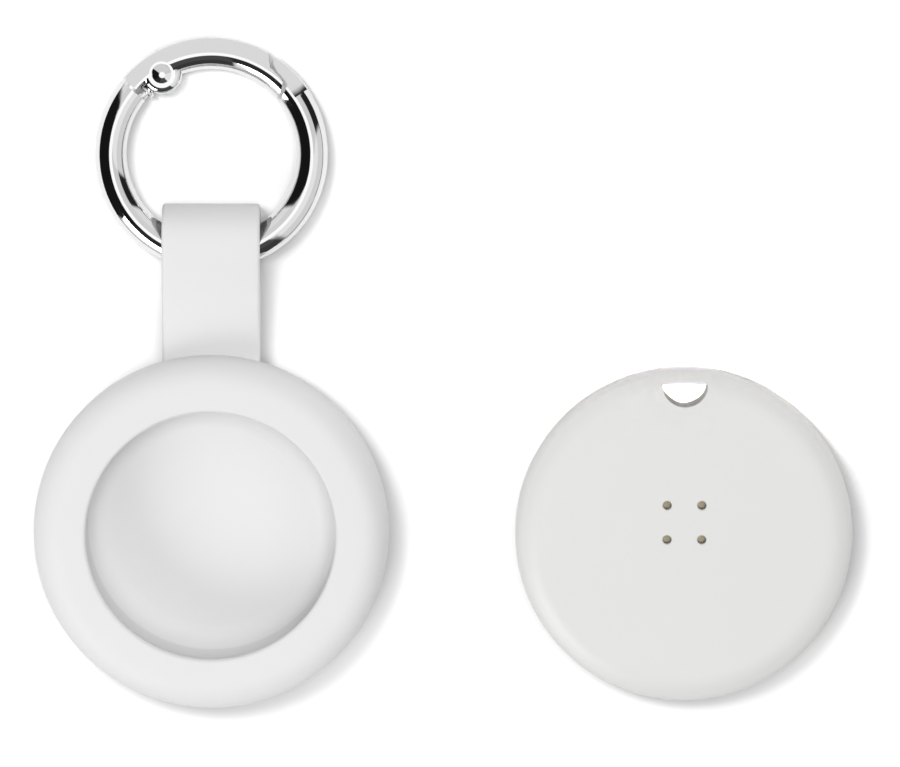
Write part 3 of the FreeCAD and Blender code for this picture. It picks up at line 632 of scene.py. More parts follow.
@dataclass
class Holder:
    """Silicone case and strap, one moulding."""

    radius: float = 20.0
    height: float = 10.0
    base_round: float = 5.8
    top_round: float = 3.3
    lip: float = 1.05
    lip_round: float = 0.5
    opening: float = 14.0
    pocket: float = 19.15
    pocket_roof_round: float = 2.2
    pocket_foot_round: float = 1.0
    pocket_floor: float = 4.1
    bowl_top: float = 14.75
    bowl_foot: float = 12.9
    bowl_round: float = 3.0
    bowl_edge: float = 0.45
    floor: float = 1.1
    strap_width: float = 11.0
    strap_edge: float = 0.45
    strap_root: float = 15.0
    neck: float = 22.4
    neck_half: float = 1.95
    level: float = 3.85
    loop_end: float = 36.9
    loop_half: float = 3.83
    shoulder_back: float = 1.7
    shoulder_round: float = 9.0
    void_half: float = 2.85
    void_end: float = 2.7
    void_tip: float = 27.28
    void_tip_half: float = 0.45
    void_from: float = 1.2
    void_to: float = 0.6
    void_rounds: tuple[float, float] = (4.0, 1.0)
    hinge: float = 31.88
    trim_floor: float = 0.3
    trim_foot: float = 0.5
    trim_top: float = 0.2
    trim_rounds: Corner = (2.0, 0.9, 2.0)

    def case(self) -> bpy.types.Object:
        """Build the round case with its bowl, pocket and rolled lip.

        Returns:
            The case without its strap.
        """
        roof = self.height - self.lip
        outline = rounded([
            (0, self.floor, 0),
            (self.bowl_foot, self.floor, self.bowl_round),
            (self.bowl_top, self.pocket_floor, self.bowl_edge),
            (self.pocket, self.pocket_floor, self.pocket_foot_round),
            (self.pocket, roof, self.pocket_roof_round),
            (self.opening, roof, self.lip_round),
            (self.opening, self.height, self.lip_round),
            (self.radius, self.height, self.top_round),
            (self.radius, 0, self.base_round),
            (0, 0, 0)], 14)
        return Bench.lathe("silicone_holder", outline, 224)

    def strap(self) -> bpy.types.Object:
        """Build the strap folded into a loop, drawn from its side.

        Returns:
            The strap, lying along the X axis and on its edge.
        """
        bend = self.loop_end - self.loop_half
        half = self.neck_half
        shoulder = rounded([
            (self.neck, half, 0), (bend - self.shoulder_back, self.loop_half, self.shoulder_round),
            (bend, self.loop_half, 0)], 14)[1:]
        outside = [(self.strap_root, half), (self.neck, half)] + shoulder
        end = arc((bend, 0), self.loop_half, 90, -90, 28)[1:-1]
        lower = [(y, -z) for y, z in reversed(outside)]
        band = Bench.prism("strap", outside + end + lower, -self.strap_width / 2,
                           self.strap_width / 2, self.strap_edge)
        return Bench.combine(band, self.void(), Solver.CUT)

    def void(self) -> bpy.types.Object:
        """Build the room for the ring inside the loop.

        Returns:
            A tool wider than the strap.
        """
        bend = self.loop_end - self.loop_half
        near, far = self.void_rounds
        side = rounded([
            (self.void_tip, self.void_tip_half, 0), (self.hinge - self.void_from, self.void_half, near),
            (self.hinge + self.void_to, self.void_half, far), (bend, self.void_end, 0)], 10)
        end = arc((bend, 0), self.void_end, 90, -90, 24)[1:-1]
        tip = arc((self.void_tip, 0), self.void_tip_half, 270, 90, 8)[1:-1]
        outline = side + end + [(y, -z) for y, z in reversed(side)] + tip
        return Bench.prism("strap_void", outline, -self.strap_width, self.strap_width)

    def room(self) -> bpy.types.Object:
        """Build the case's inside, which keeps the strap's root out of it.

        Returns:
            A tool that ends within the case's wall.
        """
        base, side, roof = self.floor + self.trim_floor, self.pocket + self.trim_top, self.height - self.lip
        foot, low, high = self.trim_rounds
        return Bench.lathe("hollow", rounded([
            (0, base, 0), (self.bowl_foot - self.trim_foot, base, foot),
            (self.bowl_top - self.trim_top, self.pocket_floor, 0), (side, self.pocket_floor, low),
            (side, roof, high), (0, roof, 0)], 6), 96)

    def build(self, finishes: Finishes) -> bpy.types.Object:
        """Join case and strap into one piece.

        Args:
            finishes: the materials.

        Returns:
            The holder.
        """
        case = self.case()
        strap = self.strap()
        on_side = Matrix(((0, 0, 1, 0), (1, 0, 0, 0), (0, 1, 0, 0), (0, 0, 0, 1)))
        strap.matrix_world = Matrix.Translation((0, 0, self.level)) @ on_side
        Bench.combine(strap, self.room(), Solver.CUT)
        Bench.combine(case, strap, Solver.JOIN)
        Bench.settle(case, Matrix.Identity(4), smooth=50)
        finishes.put(case, "silicone_white")
        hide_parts("holder_case", "strap_loop")
        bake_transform(case)
        return case


# ------------------------------------------------------------------ the tag


@dataclass
class Tag:
    """Two-part shell and battery door."""

    x: float = 53.25
    y: float = -0.29
    radius: float = 19.0
    thickness: float = 7.6
    rim_width: float = 2.0
    rim_drop: float = 1.3
    rim_round: float = 1.8
    face_round: float = 3.5
    step: float = 0.1
    parting: float = 4.9
    seam: float = 0.06
    bulge_height: float = 3.0
    bulge_radius: float = 12.6
    bulge_flare: float = 1.1
    bulge_rounds: Corner = (0.9, 0.35, 1.2)
    wall: float = 1.0
    room: float = 17.0
    room_round: float = 0.5
    lip: float = 17.72
    lip_depth: float = 0.9
    lip_play: float = 0.06
    slot_half: float = 2.5
    slot_flat: float = 17.2
    slot_edge: float = 0.2
    slot_flare: tuple[Point, ...] = ((0.1, 0.004), (0.06, 0.008), (0.05, 0.016), (1.0, 0.3))
    slot_bottom: float = -1.0
    sleeve_wall: float = 0.7
    sleeve_sink: float = 0.3
    face_level: float = 7.53
    face_lean: float = 5.0
    hole_radius: float = 0.5
    hole_flare: float = 0.12
    hole_above: float = 0.03
    hole_spacing: float = 3.9
    hole_y: float = 1.6
    lamp_y: float = 12.4
    lamp_radius: float = 0.9
    lamp_skin: float = 0.35
    door: float = 10.9
    door_plate: float = 0.95
    door_boss: float = 1.2
    door_play: float = 0.1
    boss_step: float = 0.6
    door_edge: float = 0.07
    lugs: int = 3
    lug: float = 11.5
    lug_half: float = 1.6
    lug_root: float = 0.4
    lug_low: float = 0.45
    lug_high: float = 0.9
    lug_play: float = 0.05
    entry_half: float = 1.8
    entry_root: float = 0.3
    entry_turn: float = 25.0
    groove: float = 11.75
    cell_well: float = 10.4
    ledge: float = 1.5
    posts: int = 6
    post_reach: float = 14.8
    post: Point = (0.8, 0.72)
    post_tip: float = 0.08
    post_sink: float = 0.3
    coin_half: float = 6.0
    coin_width: float = 0.8
    coin_depth: float = 0.55

    def place(self) -> Matrix:
        """Where the tag stands."""
        return Matrix.Translation((self.x, self.y, 0))

    def half_moon(self) -> list[Point]:
        """Outline of the lanyard slot."""
        return arc((0, self.slot_flat), self.slot_half, 180, 360, 33)

    def front(self, finishes: Finishes) -> bpy.types.Object:
        """Build the front shell with its slot, sound holes and lamp pocket.

        Args:
            finishes: the materials.

        Returns:
            The shell.
        """
        inner = self.thickness - self.wall
        low = self.parting - self.lip_depth
        seam = self.parting + self.seam
        outline = rounded([
            (0, inner, 0), (self.room, inner, self.room_round), (self.room, low, 0),
            (self.lip, low, self.step), (self.lip, seam, 0), (self.radius - self.step, seam, 0),
            (self.radius, seam + self.step, 0),
            (self.radius, self.thickness - self.rim_drop, self.rim_round),
            (self.radius - self.rim_width, self.thickness, self.face_round),
            (0, self.thickness, 0)], 12)
        shell = Bench.lathe("tag_front", outline, 256)
        around = arc((0, self.slot_flat + self.step), self.slot_half + self.sleeve_wall, 180, 360, 33)
        sleeve = Bench.prism("sleeve", around, low, inner + self.sleeve_sink)
        Bench.combine(shell, sleeve, Solver.JOIN)
        Bench.combine(shell, self.slot_tool(), Solver.CUT)
        below, top = inner - self.wall, self.thickness + self.hole_above
        for side in (-1, 1):
            for up in (-1, 1):
                tool = Bench.lathe("hole_tool", [
                    (0, below), (self.hole_radius, below), (self.hole_radius, self.thickness - self.step),
                    (self.hole_radius + self.hole_flare, top), (0, top)], 32)
                tool.location = (side * self.hole_spacing / 2, self.hole_y + up * self.hole_spacing / 2, 0)
                Bench.combine(shell, tool, Solver.CUT)
        skin = self.thickness - self.lamp_skin
        pocket = Bench.lathe("pocket_tool", [
            (0, below), (self.lamp_radius, below), (self.lamp_radius, skin), (0, skin)], 32)
        pocket.location = (0, -self.lamp_y, 0)
        Bench.combine(shell, pocket, Solver.CUT)
        return self.finish(shell, finishes, "front_shell")

    def slot_tool(self) -> bpy.types.Object:
        """Build the slot's tool, flared where it meets the domed face.

        Returns:
            A half-moon bar whose upper rings lean with the face and widen.
        """
        middle = self.slot_flat - self.slot_half / 2
        tool = Bench.draw("slot_tool", [(x, y, self.slot_bottom) for x, y in self.half_moon()])
        bpy.ops.mesh.edge_face_add()
        start = self.face_level - self.slot_edge
        bpy.ops.mesh.extrude_region_move(
            TRANSFORM_OT_translate={"value": (0, 0, start - self.slot_bottom)})
        bpy.ops.transform.rotate(value=math.radians(self.face_lean), orient_axis="X",
                                 center_override=(0, middle, start))
        for rise, grow in self.slot_flare:
            bpy.ops.mesh.extrude_region_move(TRANSFORM_OT_translate={"value": (0, 0, rise)})
            bpy.ops.transform.resize(value=(1 + grow, 1 + 2 * grow, 1), center_override=(0, middle, 0))
        bpy.ops.mesh.select_all(action="SELECT")
        bpy.ops.mesh.normals_make_consistent(inside=False)
        bpy.ops.object.mode_set(mode="OBJECT")
        return tool

    def rear(self, finishes: Finishes) -> bpy.types.Object:
        """Build the rear shell with its bulge and the bayonet seat.

        Args:
            finishes: the materials.

        Returns:
            The shell.
        """
        bore, shelf = self.door + self.door_play, self.bulge_height + self.wall
        collar = self.lip + self.lip_play
        over, under = self.lug_high + self.lug_play, self.lug_low - self.lug_play
        foot, flare, flange = self.bulge_rounds
        outline = rounded([
            (bore, 0, 0.12), (self.bulge_radius, 0, foot),
            (self.bulge_radius + self.bulge_flare, self.bulge_height, flare),
            (self.radius, self.bulge_height, flange), (self.radius, self.parting - self.step, 0),
            (self.radius - self.step, self.parting, 0), (collar, self.parting, 0), (collar, shelf, 0),
            (self.cell_well, shelf, self.step), (self.cell_well, self.ledge, 0), (bore, self.ledge, 0),
            (bore, over, 0), (self.groove, over, 0), (self.groove, under, 0), (bore, under, 0)], 9)
        shell = Bench.lathe("tag_rear", outline + [outline[0]], 256)
        for index in range(self.lugs):
            entry = self.key("entry", (self.door - self.entry_root, self.groove), self.entry_half,
                             (self.slot_bottom, self.lug_low), self.entry_turn + 360 / self.lugs * index)
            Bench.combine(shell, entry, Solver.CUT)
        wide, narrow = self.post
        for index in range(self.posts):
            post = Bench.lathe("post", [
                (0, shelf - self.post_sink), (wide, shelf - self.post_sink),
                (wide, self.parting - self.post_tip), (narrow, self.parting), (0, self.parting)], 24)
            post.location = (*polar(self.post_reach, 360 / self.posts * index), 0)
            bpy.context.view_layer.update()
            Bench.combine(shell, post, Solver.JOIN)
        slot = Bench.prism("slot_tool", self.half_moon(), self.slot_bottom, self.thickness)
        Bench.combine(shell, slot, Solver.CUT)
        return self.finish(shell, finishes, "rear_shell")

    def key(self, name: str, span: Point, half: float, levels: Point, turn: float) -> bpy.types.Object:
        """Build a bayonet's block: a lug, or the tool for its entry.

        Args:
            name: name of the block.
            span: its distances from the tag's axis.
            half: half its width.
            levels: its lower and upper level.
            turn: its place round the axis in degrees.

        Returns:
            The block.
        """
        near, far = span
        block = Bench.prism(name, [(near, -half), (far, -half), (far, half), (near, half)], *levels)
        block.rotation_euler = (0, 0, math.radians(turn))
        bpy.context.view_layer.update()
        return block

    def battery_door(self, finishes: Finishes) -> bpy.types.Object:
        """Build the round door with its lugs and coin slot.

        Args:
            finishes: the materials.

        Returns:
            The door.
        """
        boss = self.door - self.boss_step
        outline = rounded([
            (0, 0, 0), (self.door, 0, 0.15), (self.door, self.door_plate, 0), (boss, self.door_plate, 0),
            (boss, self.door_boss, 0.08), (0, self.door_boss, 0)], 7)
        door = Bench.lathe("tag_battery_door", outline, 192)
        for index in range(self.lugs):
            lug = self.key("lug", (self.door - self.lug_root, self.lug), self.lug_half,
                           (self.lug_low, self.lug_high), 360 / self.lugs * index)
            Bench.combine(door, lug, Solver.JOIN)
        side, end = self.coin_width, self.coin_half - self.coin_width
        slot = arc((end, 0), side, -90, 90, 13) + arc((-end, 0), side, 90, 270, 13)
        tool = Bench.prism("coin_tool", slot, self.slot_bottom, self.coin_depth)
        Bench.combine(door, tool, Solver.CUT)
        Bench.soften(door, self.door_edge, angle=50)
        return self.finish(door, finishes, "battery_door")

    def finish(self, piece: bpy.types.Object, finishes: Finishes, node: str) -> bpy.types.Object:
        """Settle a plastic piece and hang it on its body.

        Args:
            piece: the piece as modelled.
            finishes: the materials.
            node: the plain part that it stands in for.

        Returns:
            The piece.
        """
        Bench.settle(piece, self.place(), smooth=38)
        finishes.put(piece, "tag_plastic")
        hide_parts(node)
        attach(piece, "door" if node == "battery_door" else "tag")
        return piece


# ------------------------------------------------------------------ the ring


@dataclass
class GateRing:
    """Round-wire ring with a sprung gate."""

    radius: float = 11.3
    wire: float = 1.78
    strap_width: float = 11.0
    strap_level: float = 3.85
    lift: float = 0.05
    hinge: float = 31.88
    rivet_reach: float = 10.58
    rivet_angle: float = 121.8
    rivet: float = 0.6
    rivet_play: float = 0.05
    head: float = 1.1
    head_rise: float = 0.03
    dome: float = 0.18
    seat: float = 1.38
    seat_level: float = 1.25
    ear: float = 2.3
    ear_half: float = 1.45
    ear_round: float = 0.75
    ear_reach: float = 11.7
    fork: tuple[Point, Point] = ((-0.9, -2.0), (8.0, 6.0))
    fork_turn: float = 216.0
    heel: float = 139.4
    heel_inside: float = 11.1
    heel_flat: tuple[Point, Point] = ((2.03, -0.45), (3.6, 2.6))
    face: float = 141.2
    flat: tuple[Point, Point] = ((11.36, 1.779), (12.98, 0.59))
    flat_rise: float = 0.7
    flat_from: float = 34.0
    body_flat_to: float = 100.0
    gate_flat_to: float = 150.0
    split_gap: float = 0.5
    split_overlap: float = 0.02
    outside: float = 14.6
    inside: float = 8.2
    beyond: float = 17.0
    nose_from: float = 46.0
    nose_to: float = 62.0
    deep: float = 3.0
    facets: int = 288
    spare: float = 0.006
    body_edge: float = 0.27
    gate_edge: float = 0.12
    tongue_half: float = 0.65
    tongue_play: float = 0.1
    tongue_edge: float = 0.45
    tongue_radii: Point = (12.4, 11.05)
    tongue_angles: Point = (118.8, 145.0)
    knuckle: float = 1.4
    knuckle_room: float = 1.6
    pin_reach: float = 10.05
    pin_angle: float = 133.0
    pin_head: float = 0.9
    pin_collar: float = 0.75
    pin_stem: float = 0.5
    pin_length: float = 2.6
    bore: float = 0.55
    bore_span: Point = (0.9, 6.0)

    def place(self) -> Matrix:
        """Find where the ring lies: hung in the loop with its far end on the table.

        Returns:
            The ring's place, in millimetres.
        """
        chord = math.sqrt(self.radius ** 2 - self.strap_width ** 2 / 4)
        reach = (self.radius + chord) / 2
        tilt = math.asin((self.strap_level - self.wire - self.lift) / (self.radius + reach))
        return (Matrix.Translation((0, self.hinge, self.strap_level)) @ Matrix.Rotation(-tilt, 4, "X")
                @ Matrix.Translation((0, reach, 0)))

    def round_wire(self, name: str, flat_to: float) -> bpy.types.Object:
        """Whole ring of round wire, flattened on its outside for a stretch.

        Args:
            name: name of the piece.
            flat_to: angle at which the flattened stretch ends; it starts at the nose.

        Returns:
            The ring.
        """
        Bench.clear()
        bpy.ops.mesh.primitive_torus_add(major_radius=self.radius, minor_radius=self.wire - self.spare,
                                         major_segments=self.facets, minor_segments=72)
        ring = bpy.context.object
        ring.name = name
        (inner, top), (outer, low) = self.flat
        slope = (top - low) / (outer - inner)
        crest = top + self.flat_rise
        rim, peak = outer + low / slope, inner - self.flat_rise / slope
        loop = [(peak, crest), (rim, 0), (peak, -crest), (self.beyond, -crest), (self.beyond, crest),
                (peak, crest)]
        tool = Bench.lathe("flat_tool", loop, self.facets)
        stretch = arc((0, 0), 1.5 * self.beyond, self.flat_from, flat_to, 24) + [(0, 0)]
        Bench.combine(tool, Bench.prism("stretch", stretch, -self.deep, self.deep), Solver.KEEP)
        return Bench.combine(ring, tool, Solver.CUT)

    def rivet_point(self) -> Point:
        """Centre of the rivet."""
        return polar(self.rivet_reach, self.rivet_angle)

    def disc(self, reach: float, low: float, high: float, edge: float = 0.0) -> bpy.types.Object:
        """Build a round boss or tool on the rivet's axis.

        Args:
            reach: its radius.
            low: its lower level.
            high: its upper level.
            edge: radius of its rims.

        Returns:
            The disc.
        """
        obj = Bench.prism("disc", circle(reach, 48), low, high, edge)
        obj.location = (*self.rivet_point(), 0)
        bpy.context.view_layer.update()
        return obj

    def split(self, gap: float) -> list[Point]:
        """Line of the closing joint, from outside to inside, moved by half a gap.

        Args:
            gap: distance by which the line is moved towards the ring's nose.

        Returns:
            Points from outside the wire to inside it.
        """
        nose = math.degrees(gap / self.radius)
        return [
            polar(self.outside, 61.6 - 2.2 * nose), polar(13.1, 60.6 - 1.6 * nose),
            polar(12.3, 58.2 - nose), polar(11.75 + gap * 0.5, 55.6 - nose),
            polar(11.62 + gap * 0.5, 51.5), polar(11.52 + gap * 0.5, 47.5),
            polar(11.35 + gap * 0.5, 44.8 - nose),
            polar(10.7, 42.6 - nose), polar(9.6, 40.0 - nose), polar(self.inside, 39.0 - nose)]

    def stretch(self, reach: float, start: float, stop: float, steps: int) -> list[Point]:
        """Arc about the ring's centre."""
        return arc((0, 0), reach, start, stop, steps)

    def block(self, name: str, corners: tuple[Point, Point], half: float, turn: float) -> bpy.types.Object:
        """Build a square tool at the rivet.

        Args:
            name: name of the tool.
            corners: two opposite corners, from the rivet and before it is turned.
            half: half its thickness.
            turn: degrees that it is turned about the rivet.

        Returns:
            The tool.
        """
        (left, near), (right, far) = corners
        tool = Bench.prism(name, [(left, near), (right, near), (right, far), (left, far)], -half, half)
        tool.rotation_euler = (0, 0, math.radians(turn))
        tool.location = (*self.rivet_point(), 0)
        bpy.context.view_layer.update()
        return tool

    def body(self, finishes: Finishes) -> bpy.types.Object:
        """Build the ring with its nose, the tongue for the rivet and the plunger's bore.

        Args:
            finishes: the materials.

        Returns:
            The ring without its gate.
        """
        ring = self.round_wire("ring_main", self.body_flat_to)
        gap = self.split(self.split_gap) + self.stretch(self.inside, self.nose_from, self.face, 24)
        gap += self.stretch(self.outside, self.face, self.nose_to, 24)
        Bench.combine(ring, Bench.prism("gap_tool", gap, -self.deep, self.deep), Solver.CUT)
        Bench.soften(ring, self.body_edge, angle=40, segments=4)
        (outer, inner), (start, stop) = self.tongue_radii, self.tongue_angles
        arm = self.stretch(outer, start, stop, 12) + self.stretch(inner, stop, start, 12)
        tongue = Bench.prism("tongue", arm, -self.tongue_half, self.tongue_half, self.tongue_edge)
        Bench.combine(tongue, self.disc(self.knuckle, -self.tongue_half, self.tongue_half), Solver.JOIN)
        Bench.combine(ring, tongue, Solver.JOIN)
        Bench.combine(ring, self.pin_tool("bore", self.bore, *self.bore_span), Solver.CUT)
        return self.finish(ring, finishes, "ring_body", "ring")

    def gate(self, finishes: Finishes) -> bpy.types.Object:
        """Build the curved gate with its inner lip and slotted ear.

        Args:
            finishes: the materials.

        Returns:
            The gate.
        """
        gate = self.round_wire("ring_gate_arm", self.gate_flat_to)
        span = self.split(-self.split_overlap)
        span += self.stretch(self.inside, self.nose_from, self.rivet_angle, 20)
        span += self.stretch(self.heel_inside, self.rivet_angle + 2, self.heel, 8)
        span += self.stretch(self.outside, self.heel, self.nose_to, 24)
        Bench.combine(gate, Bench.prism("span_tool", span, -self.deep, self.deep), Solver.KEEP)
        Bench.soften(gate, self.gate_edge, angle=40, segments=3)
        ear = self.disc(self.ear, -self.ear_half, self.ear_half, self.ear_round)
        trim = Bench.prism("ear_trim", circle(self.ear_reach, 96), -self.deep, self.deep)
        Bench.combine(gate, Bench.combine(ear, trim, Solver.KEEP), Solver.JOIN)
        room = self.tongue_half + self.tongue_play
        Bench.combine(gate, self.block("slot", self.fork, room, self.fork_turn), Solver.CUT)
        Bench.combine(gate, self.disc(self.knuckle_room, -room, room), Solver.CUT)
        flat = self.block("flat", self.heel_flat, self.deep, self.pin_angle + 90)
        Bench.combine(gate, flat, Solver.CUT)
        for low in (self.seat_level, -self.seat_level - self.deep):
            Bench.combine(gate, self.disc(self.seat, low, low + self.deep), Solver.CUT)
        hole = self.disc(self.rivet + self.rivet_play, -self.deep, self.deep)
        Bench.combine(gate, hole, Solver.CUT)
        return self.finish(gate, finishes, "ring_gate", "gate")

    def rivet_pin(self, finishes: Finishes) -> bpy.types.Object:
        """Build the rivet with a domed head on each side.

        Args:
            finishes: the materials.

        Returns:
            The rivet.
        """
        top = self.seat_level + self.head_rise
        bend = (self.head ** 2 + self.dome ** 2) / (2 * self.dome)
        cap = arc((0, top + self.dome - bend), bend, math.degrees(math.acos(self.head / bend)), 90, 14)
        half = [(self.rivet, 0), (self.rivet, top)] + cap
        outline = [(r, -z) for r, z in reversed(half)] + half[1:]
        pin = Bench.lathe("ring_rivet", outline, 64)
        pin.location = (*self.rivet_point(), 0)
        bpy.context.view_layer.update()
        return self.finish(pin, finishes, "gate_rivet", "ring")

    def pin_tool(self, name: str, reach: float, start: float, stop: float) -> bpy.types.Object:
        """Build a round bar along the plunger's line.

        Args:
            name: name of the bar.
            reach: its radius.
            start: where it starts, from the plunger's nose.
            stop: where it ends.

        Returns:
            The bar.
        """
        bar = Bench.lathe(name, [(0, start), (reach, start), (reach, stop), (0, stop)], 48)
        bar.matrix_world = self.pin_place()
        return bar

    def pin_place(self) -> Matrix:
        """Find the plunger's place.

        Returns:
            Frame whose Z axis runs from the plunger's nose into the ring.
        """
        nose = Matrix.Translation((*polar(self.pin_reach, self.pin_angle), 0))
        along = Matrix.Rotation(math.radians(self.pin_angle + 90), 4, "Z")
        return nose @ (along @ Matrix.Rotation(math.radians(90), 4, "Y"))

    def plunger(self, finishes: Finishes) -> bpy.types.Object:
        """Build the plunger with a domed nose.

        Args:
            finishes: the materials.

        Returns:
            The plunger.
        """
        outline = rounded([
            (0, 0, 0), (self.pin_head, 0, 0.55), (self.pin_head, self.pin_collar, 0.12),
            (self.pin_stem, self.pin_collar, 0), (self.pin_stem, self.pin_length, 0.1),
            (0, self.pin_length, 0)], 7)
        pin = Bench.lathe("ring_plunger", outline, 64)
        pin.matrix_world = self.pin_place()
        return self.finish(pin, finishes, "gate_plunger", "plunger")

    def finish(self, piece: bpy.types.Object, finishes: Finishes, node: str,
               body: str) -> bpy.types.Object:
        """Settle a chromed piece and hang it on its body.

        Args:
            piece: the piece as modelled.
            finishes: the materials.
            node: the plain part that it stands in for.
            body: the body that it moves with.

        Returns:
            The piece.
        """
        Bench.settle(piece, self.place(), smooth=32)
        finishes.put(piece, "ring_chrome")
        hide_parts(node)
        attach(piece, body)
        return piece


# ------------------------------------------------------------------ the studio


@dataclass(frozen=True)
class Softbox:
    """Rectangular lamp aimed at a point of the set."""

    name: str
    azimuth: float
    elevation: float
    reach: float
    size: tuple[float, float]
    watts: float
    mirrored: bool = True
    spread: float = 180.0

    def build(self, target: Vector) -> bpy.types.Object:
        """Build the lamp.

        Args:
            target: point it faces.

        Returns:
            The lamp, turned towards the target.
        """
        data = bpy.data.lights.new(self.name, "AREA")
        data.shape = "RECTANGLE"
        data.size, data.size_y = self.size
        data.energy = self.watts
        data.spread = math.radians(self.spread)
        lamp = bpy.data.objects.new(self.name, data)
        across, up = polar(self.reach, self.elevation)
        lamp.location = target + Vector((*polar(across, self.azimuth), up))
        lamp.rotation_euler = (target - lamp.location).to_track_quat("-Z", "Y").to_euler()
        lamp.visible_glossy = self.mirrored
        bpy.context.collection.objects.link(lamp)
        return lamp


@dataclass(frozen=True)
class Wall:
    """Stretch of the studio's surroundings between two azimuths."""

    start: float
    stop: float
    low: float
    high: float


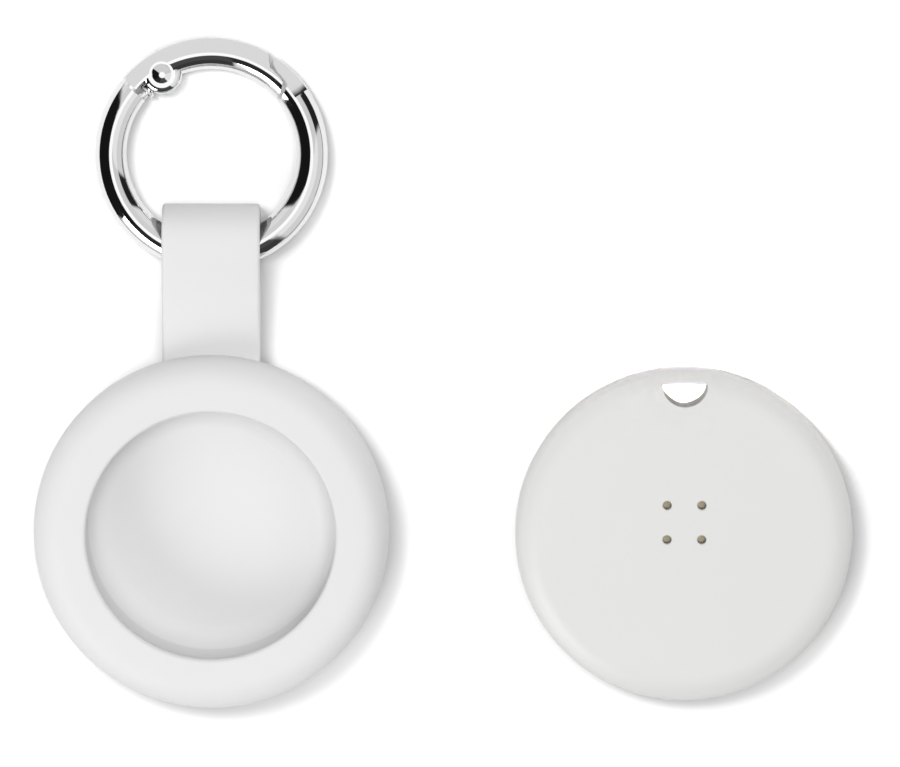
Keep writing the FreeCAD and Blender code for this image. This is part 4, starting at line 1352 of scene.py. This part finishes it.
@dataclass
class Studio:
    """White table, soft lamps, panelled surroundings and the camera."""

    target: Corner = (0.026844, 0.016718, 0.005)
    slot_middle: Corner = (0.05325, 0.0158, 0.004)
    distance: float = 0.90
    tilt: float = 7.83
    side: float = -0.115
    roll: float = 0.125
    width: float = 0.10126
    sensor: float = 36.0
    table_size: float = 3.0
    table_shades: Point = (0.595, 0.605)
    corner: float = 1.5
    panel_top: tuple[float, float] = (0.68, 0.74)
    ceiling: tuple[float, float] = (0.975, 0.985)
    skirting: tuple[float, float] = (0.05, 0.09)
    overhead: float = 1.35
    walls: tuple[Wall, ...] = (
        Wall(-180, -145, 0.01, 0.01),
        Wall(-145, -107, 1.0, 0.03),
        Wall(-107, -50, 0.05, 0.08),
        Wall(-50, 15, 0.85, 1.05),
        Wall(15, 38, 0.02, 0.8),
        Wall(38, 145, 0.95, 0.85),
        Wall(145, 180, 0.01, 0.01))
    lamps: tuple[Softbox, ...] = (
        Softbox("key", 226, 34, 0.6, (0.30, 0.30), 1.75),
        Softbox("overhead", 90, 82, 0.7, (0.26, 0.26), 2.95, False))
    table_lamp: Softbox = Softbox("table_lamp", 133, 68, 0.7, (0.14, 0.14), 3.2, False)
    slot_lamp: Softbox = Softbox("slot_lamp", 102.3, 81.9, 0.9, (0.012, 0.012), 0.02, False, 2.0)

    def build(self) -> None:
        """Build the floor, the lamps, the surroundings and the camera."""
        target = Vector(self.target)
        table = self.floor()
        for lamp in self.lamps:
            lamp.build(target)
        lit = bpy.data.collections.new("table_only")
        lit.objects.link(table)
        self.table_lamp.build(target).light_linking.receiver_collection = lit
        self.slot_lamp.build(Vector(self.slot_middle)).light_linking.receiver_collection = lit
        self.surroundings()
        self.camera()
        bpy.context.scene.view_settings.view_transform = "Standard"

    def floor(self) -> bpy.types.Object:
        """Build the plain white table.

        Returns:
            The table.
        """
        Bench.clear()
        bpy.ops.mesh.primitive_plane_add(size=self.table_size, location=(0, 0, 0))
        table = bpy.context.object
        table.name = "table_top"
        graph = Graph.of_material("table_white")
        grain = graph.noise(40.0, 2.0)
        dark, light = ((shade,) * 3 for shade in self.table_shades)
        colour = graph.blend(grain, dark, light)
        graph.dress(Base_Color=colour, Roughness=0.9, Specular_IOR_Level=0.1)
        table.data.materials.append(graph.owner)
        return table

    def ring_of_walls(self, graph: Graph, turn: Value, which: str) -> Value:
        """Brightness all round at one height.

        Args:
            graph: the world's graph.
            turn: azimuth from 0 to 1.
            which: the walls' field to read.

        Returns:
            The brightness as a colour.
        """
        stops = []
        for wall in self.walls:
            level = (getattr(wall, which),) * 3
            stops.append(((wall.start + self.corner + 180) / 360, level))
            stops.append(((wall.stop - self.corner + 180) / 360, level))
        return graph.add("ShaderNodeValToRGB", {"stops": stops}, {"Fac": turn}, "Color")

    def surroundings(self) -> None:
        """Panels round the set with dark gaps between them."""
        bpy.context.scene.world = bpy.data.worlds.new("studio")
        graph = Graph(bpy.context.scene.world)
        way = graph.add("ShaderNodeTexCoord", {}, {}, "Generated")
        turn = graph.add("ShaderNodeTexGradient", {"gradient_type": "RADIAL"}, {"Vector": way}, "Fac")
        height = graph.add("ShaderNodeSeparateXYZ", {}, {"Vector": way}, "Z")

        def above(levels: tuple[float, float]) -> Value:
            """Mask that turns on between two heights."""
            return graph.add("ShaderNodeMapRange", {"interpolation_type": "SMOOTHSTEP"}, {
                "Value": height, "From Min": levels[0], "From Max": levels[1]})

        low = self.ring_of_walls(graph, turn, "low")
        high = self.ring_of_walls(graph, turn, "high")
        view = graph.mix(above(self.panel_top), low, high)
        view = graph.mix(above(self.skirting), (0.02, 0.02, 0.02, 1.0), view)
        view = graph.mix(above(self.ceiling), view, (self.overhead,) * 3 + (1.0,))
        graph.dress(Color=view, Strength=1.0)

    def camera(self) -> None:
        """Camera nearly overhead, leaning towards the ring's end."""
        data = bpy.data.cameras.new("camera")
        data.sensor_width = self.sensor
        data.lens = self.sensor * self.distance / self.width
        data.clip_start = 0.01
        eye = bpy.data.objects.new("camera", data)
        lean, side = math.radians(self.tilt), math.radians(self.side)
        away = Vector((math.sin(side), math.sin(lean), math.cos(lean) * math.cos(side))).normalized()
        level = Vector((0, 1, 0)).cross(away).normalized()
        right = Matrix.Rotation(math.radians(self.roll), 3, away) @ level
        turn = Matrix((right, away.cross(right), away)).transposed()
        eye.location = Vector(self.target) + away * self.distance
        eye.rotation_euler = turn.to_euler()
        bpy.context.collection.objects.link(eye)
        bpy.context.scene.camera = eye


NODE_FINISHES = {
    "door_o_ring": "seal_rubber", "coin_cell": "cell_steel", "battery_minus_spring": "contact_nickel",
    "battery_plus_clips": "contact_nickel", "circuit_board": "board_lacquer", "radio_chip": "chip_black",
    "motion_sensor": "chip_black", "chip_antenna": "pale_ceramic", "status_led": "lamp_plastic",
    "crystals": "contact_nickel", "passives": "passive_ceramic", "piezo_foam_ring": "sounder_foam",
    "piezo_plate": "sounder_brass", "piezo_ceramic": "pale_ceramic", "piezo_springs": "contact_nickel",
    "switch_housing": "chip_black", "switch_plunger": "plunger_plastic", "gate_spring": "contact_nickel",
}


def build_pieces(makers: Iterable[Callable[[Finishes], bpy.types.Object]], finishes: Finishes) -> None:
    """Build each piece in turn and say so.

    Args:
        makers: the methods that build one piece each.
        finishes: the materials.
    """
    for maker in makers:
        piece = maker(finishes)
        LOG.info("built %s", piece.name)


def main() -> None:
    """Build the studio and every piece, and dress the carried-over parts."""
    Studio().build()
    finishes = Finishes()
    ring, tag, holder = GateRing(), Tag(), Holder()
    build_pieces([holder.build, tag.front, tag.rear, tag.battery_door, ring.body, ring.gate,
                  ring.rivet_pin, ring.plunger], finishes)
    for node, finish in NODE_FINISHES.items():
        finishes.dress_node(node, finish)


if __name__ == "__main__":
    main()
